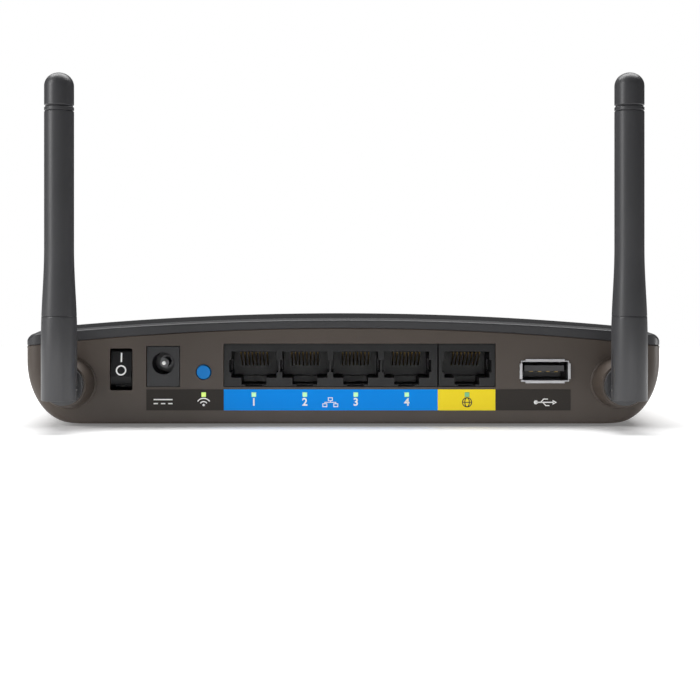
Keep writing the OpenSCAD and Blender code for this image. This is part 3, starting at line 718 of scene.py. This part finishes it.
# %% Join the bosses, pillars and posts
pivots = {j["name"]: Vector(j["pos_m"]) for j in frame["joints"] if "pos_m" in j}
antenna_pivots = [pivots["right_antenna_tilt"], pivots["left_antenna_tilt"]]
boss_out = 10 * mm
boss_r = 6.7 * mm
boss_end_r = 5.95 * mm
boss_ring_r = 7.15 * mm
boss_ring_top_r = 7 * mm
pillar_r = 3.2 * mm
pillar_top = deck + 8.6 * mm
post_r = 3 * mm
reset_guide_r = 3.06 * mm
reset_guide_top = deck + 5 * mm
foot_low, foot_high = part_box("rubber_feet")
foot_r = 6 * mm
foot_ys = (foot_low.y + foot_r, foot_high.y - foot_r)
foot_spots = [(s * (foot_high.x - foot_r), y) for s in (-1, 1) for y in foot_ys]
board_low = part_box("main_board")[0]
bolt_low, bolt_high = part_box("board_screws")
bolt_head = 2.2 * mm
bolt_ys = (bolt_low.y + bolt_head, bolt_high.y - bolt_head)
bolt_spots = [(s * (bolt_high.x - bolt_head), y) for s in (-1, 1) for y in bolt_ys]
reset = middle("reset_button")
floor_z = deck + wall / 2
added = bmesh.new()
for pivot in antenna_pivots:
    base = (pivot.x, rear, pivot.z)
    ring = [(0, -wall / 2), (boss_ring_r, -wall / 2), (boss_ring_r, 0.22 * mm)]
    ring += [(boss_ring_top_r, 0.38 * mm)]
    cone = [(boss_r, 0.42 * mm), (boss_end_r, boss_out - 0.35 * mm)]
    nose = [(boss_end_r - 0.12 * mm, boss_out - 0.1 * mm), (boss_end_r - 0.4 * mm, boss_out)]
    nose += [(0, boss_out)]
    turned(added, ring + cone + nose, base, (0, 1, 0), 96)
for x, y in foot_spots:
    rod(added, pillar_r, floor_z, pillar_top, (x, y, 0), (0, 0, 1))
for x, y in bolt_spots:
    rod(added, post_r, floor_z, board_low.z, (x, y, 0), (0, 0, 1))
rod(added, reset_guide_r, floor_z, reset_guide_top, (reset.x, reset.y, 0), (0, 0, 1))
cut(tray, square(added), "UNION")
print("lower case faces after joining:", len(tray.data.polygons))

# %% [markdown]
# ## Openings in the rear panel
# Each socket, switch, button and light looks out through its own hole, a hair larger than the piece behind
# it. The inlet's and the socket row's sizes come from their own boxes plus a clearance, and the other
# holes have given sizes, so the gap lines around them are as even as on a moulded panel.

# %% Rear openings
seat = 0.1 * mm
switch_w = 6.2 * mm
switch_h = 11.5 * mm
usb_w = 13.3 * mm
usb_h = 5.9 * mm
pipe_w = 1.4 * mm
button_bore_r = 2.15 * mm
swivel_bore_r = 4.06 * mm
openings = {o["name"]: o["box_m"] for o in frame["record"]["physics"]["openings"]}
mouths = {name: box for name, box in openings.items() if name.endswith("_mouth")}
mouth_xs = {name: (box[0][0] + box[1][0]) / 2 for name, box in mouths.items()}
network_xs = sorted((x for name, x in mouth_xs.items() if name.startswith("network")), reverse=True)
modem_x = mouth_xs["modem_socket_mouth"]
pair = middle("pair_button")
switch = middle("switch_housing")
usb = Vector((middle("usb_shell").x, 0, middle("usb_tongue").z))
pipes = middle("light_pipes")
inlet_low, inlet_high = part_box("inlet_housing")
row_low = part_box("modem_jack")[0]
row_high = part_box("network_block")[1]
holes = bmesh.new()
window(holes, switch.x, switch.z, switch_w, switch_h, 0.5 * mm)
window(holes, (inlet_low.x + inlet_high.x) / 2, (inlet_low.z + inlet_high.z) / 2 + seat / 2,
       inlet_high.x - inlet_low.x + 4 * seat, inlet_high.z - inlet_low.z + 3 * seat, 0.2 * mm)
window(holes, (row_low.x + row_high.x) / 2, (row_low.z + row_high.z) / 2,
       row_high.x - row_low.x + 2 * seat, row_high.z - row_low.z + 2 * seat, 0.2 * mm)
window(holes, usb.x, usb.z, usb_w, usb_h, 0.3 * mm)
rod(holes, button_bore_r, -past, wall + past, (pair.x, rear, pair.z), (0, -1, 0), 64)
for x in [*network_xs, modem_x, pair.x]:
    window(holes, x, pipes.z, pipe_w, pipe_w, 0.15 * mm)
for pivot in antenna_pivots:
    rod(holes, swivel_bore_r, -past - wall, boss_out + past, (pivot.x, rear, pivot.z), (0, 1, 0), 80)
cut(tray, square(holes))
print("network sockets at", [round(x / mm, 2) for x in network_xs])

# %% [markdown]
# ## Pockets underneath
# Underneath are four sunk feet with the case screws hidden below them, holes for the board's
# screws, and a guide for the reset button. A foot's pocket is stepped, for the foot, the screw's
# head and its shank. It could be three stacked cylinders; one turned profile cuts it in one go.

# %% Feet, screws and reset
foot_bed_r = 6.1 * mm
foot_bed_t = 0.6 * mm
head_r = 2.8 * mm
head_top = 2.8 * mm
bore_r = 1.55 * mm
bore_top = 9.6 * mm
bolt_bore_r = 1 * mm
bolt_bore_low = deck + 2.5 * mm
reset_bore_r = 1.66 * mm
under = bmesh.new()
for x, y in foot_spots:
    foot_bed = [(0, -past), (foot_bed_r, -past), (foot_bed_r, foot_bed_t)]
    head_room = [(head_r, foot_bed_t), (head_r, head_top)]
    bore = [(bore_r, head_top), (bore_r, bore_top), (0, bore_top)]
    turned(under, foot_bed + head_room + bore, (x, y, deck), (0, 0, 1))
for x, y in bolt_spots:
    rod(under, bolt_bore_r, bolt_bore_low, board_low.z + past, (x, y, 0), (0, 0, 1), 24)
rod(under, reset_bore_r, deck - past, reset_guide_top + past, (reset.x, reset.y, 0), (0, 0, 1))
print("pockets:", len(foot_spots), "board screw holes:", len(bolt_spots))

# %% [markdown]
# ## Vents, keyholes and the film's bed
# Two rows of slots let warm air move, two keyholes hang the router on a wall, and a shallow bed
# takes a blank rating film. A keyhole is two arcs: the wide one lets a screw's head in and the
# narrow one holds its neck. All of them join the same tool as the pockets, so the tray is cut
# once; a cut for each slot would give the same shape and take much longer.

# %% Vents, keyholes and the film's bed
vents = 4
vent_w = 2.2 * mm
vent_run = 28 * mm
vent_x = 26 * mm
vent_step = 4.5 * mm
vent_d = 64 * mm
key_r = 3.4 * mm
neck_r = 1.7 * mm
neck_run = 6 * mm
key_x = 54 * mm
key_d = 60 * mm
through = deck + wall + past
half_turn = atan2(sqrt(key_r**2 - neck_r**2), neck_r)
for s in (-1, 1):
    for k in range(vents):
        vent = rounded(vent_w, vent_run, vent_w / 2 - 0.05 * mm)
        centre = Vector((s * (vent_x + vent_step * k), rear - vent_d))
        upright(under, [centre + p for p in vent], deck - past, through)
    key = Vector((s * key_x, rear - key_d))
    keyhole = arc(key, key_r, pi - half_turn, half_turn + 2 * pi, 32)
    keyhole += arc(key + Vector((0, neck_run)), neck_r, 0, pi, 12)
    upright(under, keyhole, deck - past, through)
label_low, label_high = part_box("rating_film")
bed = rounded(label_high.x - label_low.x + 2 * seat, label_high.y - label_low.y + 2 * seat, 0.6 * mm)
label = middle("rating_film")
label_bed = [Vector((label.x + p.x, label.y + p.y)) for p in bed]
upright(under, label_bed, deck - past, deck + 0.2 * mm)
cut(tray, square(under))
finish_edges(tray)
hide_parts("bottom_case")
print("lower case faces:", len(tray.data.polygons))

# %% [markdown]
# ## Lid
# The lid is a thin dish turned upside down. Its edge is nearly square along the rear, where it
# meets the panel, and rolls over softly at the rear corners, along the sides and at the front.
# The roll is a quarter ellipse; how far it falls is blended with d and, at the rear, with x near
# the corners. A shallow bed in the top takes the darker inlay, with a small chamfer on its lip.

# %% Lid skin
inlay_in = 9 * mm
inlay_t = 0.8 * mm
roof_t = 2.4 * mm
tongue_in = wall + seat
tongue_t = 1.1 * mm
roll_rear = 0.5 * mm
roll_side = 3.2 * mm
roll_fall = 2.0 * mm
roll_ease = 7 * mm
bow = 940 * mm
tongue_h = 1.2 * mm
bed_chamfer = 0.15 * mm
ear_x = max(p.x for p in outline(0, 0) if p.y < 3 * mm)
ear_w = 2.6 * mm
growing = [0.04 + 0.08 * i for i in range(13)]
shrinking = [1 - 0.08 * i for i in range(13)]


def rolled(a):
    """Ring of the rolled edge at angle a, from upright at 0 to flat at a right angle."""

    def height(p):
        share = max(0, min(1, max(p.y / roll_ease, (abs(p.x) - ear_x + ear_w) / ear_w)))
        share = share * share * (3 - 2 * share)
        fall = roll_rear + (roll_fall - roll_rear) * share
        return roof(crown, bow)(p) - fall * (1 - sin(a))

    return lift(outline(roll_side * (1 - cos(a)), roll_rear * (1 - cos(a))), height)


def dish(points, top, shares):
    """Rings of the bowed top over ever smaller or larger shares of an outline."""
    return [lift(shrink(points, k), roof(top, bow)) for k in shares]


inner = outline(tongue_in + tongue_t, tongue_in + tongue_t)
outer = outline(tongue_in, tongue_in)
tongue_end = roof(seam - tongue_h)
bed_lip = outline(inlay_in - bed_chamfer, inlay_in - bed_chamfer)
bed_edge = outline(inlay_in, inlay_in)
lid_rings = dish(inner, crown - roof_t, growing)
lid_rings += [lift(inner, tongue_end), lift(outer, tongue_end), lift(outer, roof(seam))]
lid_rings += [lift(outline(lip, lip), roof(seam)), lift(outline(0, 0), roof(seam + lip))]
lid_rings += [rolled(radians(10 * i)) for i in range(10)]
lid_rings += [lift(outline(6 * mm, 5 * mm), roof(crown, bow)), lift(bed_lip, roof(crown, bow))]
lid_rings += [lift(bed_edge, roof(crown - 0.12 * mm, bow))]
lid_rings += dish(bed_edge, crown - inlay_t, shrinking)
lid = piece("lid", skin(lid_rings), lid_finish)
peg_r = 3 * mm
pegs = bmesh.new()
for x, y in foot_spots:
    peg_top = deck + roof(crown - roof_t / 2)(Vector((x, rear - y)))
    rod(pegs, peg_r, pillar_top, peg_top, (x, y, 0), (0, 0, 1))
cut(lid, square(pegs), "UNION")
lens_low, lens_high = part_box("status_lens")
lens_w = lens_high.x - lens_low.x
lens_h = lens_high.y - lens_low.y
lens = middle("status_lens")
slot = rounded(lens_w + 2 * seat, lens_h + 2 * seat, lens_h / 2 + 0.9 * seat, 10)
slot = [Vector((lens.x + p.x, lens.y + p.y)) for p in slot]
slot_top = lens_high.z + 5 * mm
cut(lid, square(upright(bmesh.new(), slot, lens_low.z, slot_top)))
finish_edges(lid)
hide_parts("top_cover")
print("lid faces:", len(lid.data.polygons))

# %% [markdown]
# ## Lid inlay
# The inlay is a separate satin sheet that drops into the lid's bed with an even gap. It repeats
# the lid's curve, so it is lofted with the same height function and a small round on its edge.

# %% Inlay
fit = inlay_in + seat
inlay_round = 0.25 * mm
sheet = outline(fit, fit)
inlay_rings = dish(sheet, crown - inlay_t, growing)
for a in range(0, 91, 15):
    pull = inlay_round * (1 - cos(radians(a)))
    fall = inlay_round * (1 - sin(radians(a)))
    inlay_rings.append(lift(outline(fit + pull, fit + pull), roof(crown - fall, bow)))
face_edge = outline(fit + inlay_round, fit + inlay_round)
inlay_rings += dish(face_edge, crown, [0.97 - 0.08 * i for i in range(12)])
inlay = piece("lid_inlay", skin(inlay_rings), inlay_finish)
cut(inlay, square(upright(bmesh.new(), slot, lens_low.z - past, slot_top)))
finish_edges(inlay)
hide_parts("top_inlay")
print("inlay faces:", len(inlay.data.polygons))

# %% [markdown]
# ## Antennas
# Each antenna is a straight whip that flares smoothly into its knuckle, with a domed cap whose
# base has two fine grooves. The whip and cap are turned on a lathe, so they are turned here too:
# a profile of radius against height, with small breaks where the pieces meet.

# %% Whip and cap
whip_r = 3.88 * mm
foot_of_whip = 4.7 * mm
flare_top = 36.8 * mm
flare_low = 12.8 * mm
whip_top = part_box("right_antenna_cap")[1].z - antenna_pivots[0].z
cap_spigot = 4 * mm
cap_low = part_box("right_antenna_cap")[0].z + cap_spigot - antenna_pivots[0].z
knuckle_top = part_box("right_knuckle")[1].z - antenna_pivots[0].z
groove = 0.37 * mm
dome = 3.55 * mm


def flare(h):
    share = min(1, max(0, (flare_top - h) / (flare_top - flare_low)))
    return whip_r + (foot_of_whip - whip_r) * (1 - cos(pi * share)) / 2


def stretch(low, high, steps):
    """Evenly spaced numbers from low to high, both included."""
    return [low + (high - low) * i / steps for i in range(steps + 1)]


def antenna(side, pivot):
    body = side + "_antenna"
    lower = [(0, knuckle_top), (flare(knuckle_top) - 0.12 * mm, knuckle_top)]
    lower += [(flare(h), h) for h in stretch(knuckle_top + 0.12 * mm, flare_top, 24)]
    upper = [(whip_r, cap_low - 0.02 * mm), (0, cap_low - 0.02 * mm)]
    whip = turned(bmesh.new(), lower + upper, pivot, (0, 0, 1), 96)
    whip = piece(side + "_antenna_whip", square(whip), antenna_finish, body, 40)
    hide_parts(side + "_whip")
    base = [(0, cap_low), (whip_r - groove, cap_low), (whip_r, cap_low + groove)]
    base += [(whip_r, cap_low + 1.1 * mm), (whip_r - groove, cap_low + 1.45 * mm)]
    base += [(whip_r, cap_low + 1.8 * mm)]
    turns = stretch(0, pi / 2, 16)[:-1]
    end = [(whip_r * cos(t), whip_top - dome + dome * sin(t)) for t in turns] + [(0, whip_top)]
    cap = turned(bmesh.new(), base + end, pivot, (0, 0, 1), 96)
    cap = piece(side + "_antenna_end_cap", square(cap), antenna_finish, body, 40)
    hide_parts(side + "_antenna_cap")
    return whip, cap


for side, pivot in zip(("right", "left"), antenna_pivots):
    whip, cap = antenna(side, pivot)
    print(side, "whip faces:", len(whip.data.polygons), "cap faces:", len(cap.data.polygons))

# %% [markdown]
# ## Pieces kept from the imported model
# Knuckles, sockets, screws and the parts on the board already have their true shape. Their edges are only
# too sharp: a moulded or stamped edge always has a tiny radius that catches the light. A weld and a bevel
# modifier add it without touching the mesh, and each piece takes its finish and its edge radius from one
# table, which also lists a slot for it.

# %% Finishes, slots and edge radii for the imported pieces
kept = [
    (antenna_finish, "antenna", 0.2, "right_swivel left_swivel right_knuckle left_knuckle"),
    (steel_finish, "plated_steel", 0.06, "case_screws right_swivel_clip left_swivel_clip"),
    (steel_finish, "plated_steel", 0.06, "right_hinge_pin left_hinge_pin switch_terminals"),
    (steel_finish, "plated_steel", 0.06, "pair_plunger board_screws crystal radio_shields"),
    (steel_finish, "plated_steel", 0.06, "reset_plunger"),
    (pin_finish, "plated_steel", 0.06, "inlet_pin inlet_contact"),
    (shell_finish, "plated_steel", 0.06, "usb_shell"),
    (copper_finish, "contact_gold", 0.05, "right_radiator left_radiator"),
    (gold_finish, "contact_gold", 0.03, "network_contacts modem_contacts usb_contacts"),
    (gold_finish, "contact_gold", 0.03, "right_lead_plug left_lead_plug"),
    (jack_finish, "jack_plastic", 0.1, "network_block modem_jack switch_housing"),
    (jack_finish, "jack_plastic", 0.1, "pair_switch reset_switch"),
    (inlet_finish, "jack_plastic", 0.15, "inlet_housing"),
    (tongue_finish, "jack_plastic", 0.1, "usb_tongue"),
    (rocker_finish, "jack_plastic", 0.2, "power_rocker"),
    (lead_finish, "jack_plastic", 0, "right_pigtail left_pigtail"),
    (blue_finish, "button_blue", 0.15, "pair_button"),
    (red_finish, "button_red", 0.15, "reset_button"),
    (rubber_finish, "foot_rubber", 0.3, "rubber_feet"),
    (chip_finish, "chip", 0.1, "processor memory_chips radio_chips"),
    (chip_finish, "chip", 0.1, "isolation_modules power_inductor"),
    (pad_finish, "pad", 0.05, "thermal_pad"),
    (sink_finish, "sink", 0.08, "heat_sink"),
    (sleeve_finish, "capacitor_sleeve", 0.4, "capacitors"),
    (board_finish, "board", 0.05, "main_board"),
    (film_finish, "panel_film", 0, "port_film"),
    (label_finish, "rating_film", 0, "rating_film"),
    (pipe_finish, "light_pipe", 0.05, "light_pipes port_leds"),
    (lens_finish, "lens", 0.15, "status_lens"),
]


def dress(name, finish, radius):
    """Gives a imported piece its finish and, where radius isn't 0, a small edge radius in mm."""
    made = nodes[name]
    made.data.materials.clear()
    made.data.materials.append(finish)
    if radius:
        weld = made.modifiers.new("weld", "WELD")
        weld.merge_threshold = 0.002 * mm
        edge = made.modifiers.new("edge", "BEVEL")
        edge.width = radius * mm
        edge.segments = 2
        edge.limit_method = "ANGLE"
        edge.angle_limit = radians(40)
        edge.harden_normals = True


for finish, slot_name, radius, names in kept:
    for name in names.split():
        dress(name, finish, radius)
print("dressed", sum(len(row[3].split()) for row in kept), "packed pieces")

# %% [markdown]
# ## Printed marks
# The switch has a bar and a ring for on and off, the network sockets are numbered, and small
# signs tell the rest apart: a line over dashes for direct current, two arcs for pairing, three
# linked boxes for the network, a plain globe for the modem socket, and a forked line for storage.
# All are thin ink, drawn as ribbons along strokes, because a printed line has an even width.


# %% Ribbons of ink
def ribbon(shell, points, width, thick, closed=False):
    """Adds a closed band of even thickness along 2D points, with mitred joints."""
    count = len(points)
    raised = Vector((0, 0, thick))
    ends = []
    for i, p in enumerate(points):
        before = points[i - 1] if closed or i else None
        after = points[(i + 1) % count] if closed or i < count - 1 else None
        turns = [(p - before).normalized()] if before is not None else []
        if after is not None:
            turns.append((after - p).normalized())
        along = sum(turns, Vector((0, 0))).normalized()
        spread = width / 2 / max(0.5, along.dot(turns[0]))
        normal = Vector((-along.y, along.x)) * spread
        left = (p + normal).to_3d()
        right = (p - normal).to_3d()
        ends.append([shell.verts.new(v) for v in (left, right, right + raised, left + raised)])
    for i in range(count if closed else count - 1):
        near, far = ends[i], ends[(i + 1) % count]
        for k in range(4):
            shell.faces.new((near[k], near[(k + 1) % 4], far[(k + 1) % 4], far[k]))
    if not closed:
        shell.faces.new(ends[0])
        shell.faces.new(ends[-1])


def printed(name, strokes, centre, normal, up, body="case", finish=ink_finish, thick=0.02 * mm):
    """Makes strokes of (points, width, closed) into thin ink on a face."""
    shell = bmesh.new()
    for points, width, closed in strokes:
        ribbon(shell, [Vector(p) * mm for p in points], width * mm, thick, closed)
    square(shell)
    normal = Vector(normal).normalized()
    up = Vector(up).normalized()
    turn = Matrix((up.cross(normal), up, normal)).transposed().to_4x4()
    turn.translation = centre
    bmesh.ops.transform(shell, matrix=turn, verts=shell.verts)
    return piece(name, shell, finish, body)


def ring_points(x, y, radius, start=0, stop=360, steps=32):
    whole = stop - start == 360
    spins = [radians(start + (stop - start) * i / steps) for i in range(steps if whole else steps + 1)]
    return [(x + radius * cos(t), y + radius * sin(t)) for t in spins]


rocker_tilt = radians(13)
rocker_reach = 6.5 * mm
face_out = Vector((0, cos(rocker_tilt), sin(rocker_tilt)))
face_up = Vector((0, -sin(rocker_tilt), cos(rocker_tilt)))
face_middle = pivots["power_switch"] + face_out * rocker_reach
bar = [([(0, 0.55), (0, 3.15)], 0.42, False)]
off_ring = [(ring_points(0, -1.75, 1.25), 0.4, True)]
printed("switch_on_mark", bar, face_middle, face_out, face_up, "power_rocker")
printed("switch_off_mark", off_ring, face_middle, face_out, face_up, "power_rocker")
print("switch marks ride the rocker")

# %% [markdown]
# ## Marks on the film
# The signs sit on the film in a line under the lights. Numbers come from the built-in font as
# text with a little thickness, because the shape of a numeral is not worth drawing by hand. The
# text becomes a plain mesh at once, so that every piece is made of mesh in the end.

# %% Signs and numbers
sign_z = deck + 5.85 * mm


def on_film(x, z=sign_z):
    return Vector((x, film_face, z))


def sign(name, x, strokes, finish=ink_finish):
    return printed(name, strokes, on_film(x), (0, 1, 0), (0, 0, 1), finish=finish)


def numeral(name, value, x):
    """A number on the film, made from text and kept as mesh."""
    letters = bpy.data.curves.new(name, "FONT")
    letters.body = value
    letters.size = 2.9 * mm
    letters.offset = 0.07 * mm
    letters.extrude = 0.01 * mm
    letters.align_x = "CENTER"
    letters.align_y = "CENTER"
    text = bpy.data.objects.new(name + "_text", letters)
    facing_rear = Matrix.Rotation(pi, 4, "Z") @ Matrix.Rotation(pi / 2, 4, "X")
    text.matrix_world = Matrix.Translation(on_film(x) + Vector((0, 0.01 * mm, 0))) @ facing_rear
    bpy.context.collection.objects.link(text)
    bpy.context.view_layer.update()
    mesh = bpy.data.meshes.new_from_object(text.evaluated_get(bpy.context.evaluated_depsgraph_get()))
    mesh.transform(text.matrix_world)
    bpy.data.objects.remove(text)
    shell = bmesh.new()
    shell.from_mesh(mesh)
    bmesh.ops.remove_doubles(shell, verts=shell.verts, dist=0.001 * mm)
    bpy.data.meshes.remove(mesh)
    return piece(name, shell, ink_finish)


for k, x in enumerate(network_xs):
    numeral(f"socket_number_{k + 1}", str(k + 1), x)
inlet_x = (inlet_low.x + inlet_high.x) / 2
direct_current = [([(-2.6, 0.75), (2.6, 0.75)], 0.34, False)]
direct_current += [([(x - 0.6, -0.35), (x + 0.6, -0.35)], 0.34, False) for x in (-2, 0, 2)]
sign("direct_current_sign", inlet_x, direct_current)
arcs = [(ring_points(0, -0.9, r, 35, 145, 16), 0.3, False) for r in (1.1, 2.0)]
arcs += [(ring_points(0, -0.75, 0.18), 0.3, True)]
sign("pairing_sign", pair.x, arcs)
meridian = [(0.62 * cos(t), 1.25 * sin(t)) for t in stretch(0, 2 * pi, 24)][:-1]
globe = [(ring_points(0, 0, 1.25), 0.26, True), ([(-1.25, 0), (1.25, 0)], 0.24, False)]
globe += [(meridian, 0.24, True)]
sign("modem_sign", modem_x, globe, dark_ink_finish)
stem = [([(-2.4, 0), (2.2, 0)], 0.3, False), (ring_points(-2.5, 0, 0.3), 0.5, True)]
fork = [([(-1.2, 0), (-0.4, 0.9), (0.8, 0.9)], 0.26, False)]
fork += [([(-0.6, 0), (0.2, -0.9), (1.2, -0.9)], 0.26, False)]
tip = [([(2.2, -0.45), (3.0, 0), (2.2, 0.45)], 0.26, True)]
sign("storage_sign", usb.x, stem + fork + tip)
linked = []
for x, y in ((-1.5, -0.8), (1.5, -0.8), (0, 0.85)):
    corners = [(x - 0.55, y - 0.4), (x + 0.55, y - 0.4), (x + 0.55, y + 0.4), (x - 0.55, y + 0.4)]
    linked.append((corners, 0.2, True))
linked += [([(-1.5, -0.4), (-1.5, 0), (1.5, 0), (1.5, -0.4)], 0.2, False)]
linked += [([(0, 0), (0, 0.45)], 0.2, False)]
sign("network_sign", sum(network_xs) / len(network_xs), linked)
signs = [o for o in bpy.data.objects if o.name.endswith("_sign")]
print("signs:", len(signs), "numbers:", len(network_xs))

# %% [markdown]
# ## Light and ground
# The set is a plain white sweep. The camera sees a white world, but that world lights the dark
# plastic only faintly, so four lamps shape it: a wide soft panel overhead for the lid, a tall one
# at the left that draws the bright line along each antenna, a thin low strip that lifts the foot
# of the rear panel as a bright table top does, and a small one at the right that lifts the
# right end of the case. The two small lamps have a narrow spread, to stay out of the sockets.
# A studio picture as the world would light the case for free, but lamps can be placed one by one.


# %% World and lamps
def lamp(name, spot, aim, size, power):
    """A rectangular soft lamp at spot that faces aim and doesn't show itself."""
    data = bpy.data.lights.new(name, "AREA")
    data.shape = "RECTANGLE"
    data.size, data.size_y = size
    data.energy = power
    made = bpy.data.objects.new(name, data)
    made.location = spot
    made.rotation_euler = (Vector(aim) - Vector(spot)).to_track_quat("-Z", "Y").to_euler()
    made.visible_camera = False
    bpy.context.collection.objects.link(made)
    return made


world = bpy.data.worlds.new("studio")
world.use_nodes = True
sky = world.node_tree
seen_directly = sky.nodes.new("ShaderNodeLightPath").outputs["Is Camera Ray"]
strength = sky.nodes.new("ShaderNodeMapRange")
strength.inputs["To Min"].default_value = 0.04
strength.inputs["To Max"].default_value = 1.0
sky.links.new(seen_directly, strength.inputs["Value"])
sky.links.new(strength.outputs["Result"], sky.nodes["Background"].inputs["Strength"])
sky.nodes["Background"].inputs["Color"].default_value = (1, 1, 1, 1)
bpy.context.scene.world = world
bpy.context.scene.view_settings.view_transform = "Standard"
lamp("overhead", (0, rear - 0.34, 0.9), (0, rear - 0.1, 0), (1.4, 0.64), 17)
lamp("key", (0.5, rear + 0.24, 0.26), (0.08, rear, 0.07), (0.16, 0.4), 1.8)
bounce = lamp("bounce", (0, rear + 0.25, 0.005), (0, rear, 0.003), (0.18, 0.008), 0.0018)
bounce.data.spread = radians(14)
side_y = rear - 0.036
side_glow = lamp("side_glow", (-0.36, side_y, 0.02), (-0.09, side_y, 0.02), (0.05, 0.02), 0.007)
side_glow.data.spread = radians(10)
print("lamps:", len(bpy.data.lights))


# %% [markdown]
# ## Paper floor
# The case stands on white sweep paper, which catches its soft shadow. A shadow catcher would need
# the render's own settings, so the floor is a plain sheet with a faint fibre, and it glows a
# little by itself, so that it stays white under such weak light. It belongs to the stage and not
# to the router, so it rides no body.

# %% Paper floor
floor_half = 0.45


def sweep_paper():
    finish = Finish("sweep_paper")
    fibre = finish.noise(2 * mm, 3)
    return finish.set(
        Base_Color=finish.mix(fibre, (0.93, 0.93, 0.93, 1), (0.96, 0.96, 0.96, 1)),
        Roughness=0.7 + fibre * 0.1,
        Normal=finish.bump(fibre, 0.1, 0.02 * mm),
        Emission_Color=(1, 1, 1, 1),
        Emission_Strength=0.16,
    )


sweep = bmesh.new()
bmesh.ops.create_grid(sweep, x_segments=2, y_segments=2, size=floor_half)
ground = bpy.data.meshes.new("floor")
sweep.to_mesh(ground)
sweep.free()
ground.materials.append(sweep_paper())
floor = bpy.data.objects.new("floor", ground)
bpy.context.collection.objects.link(floor)
print("stage set")
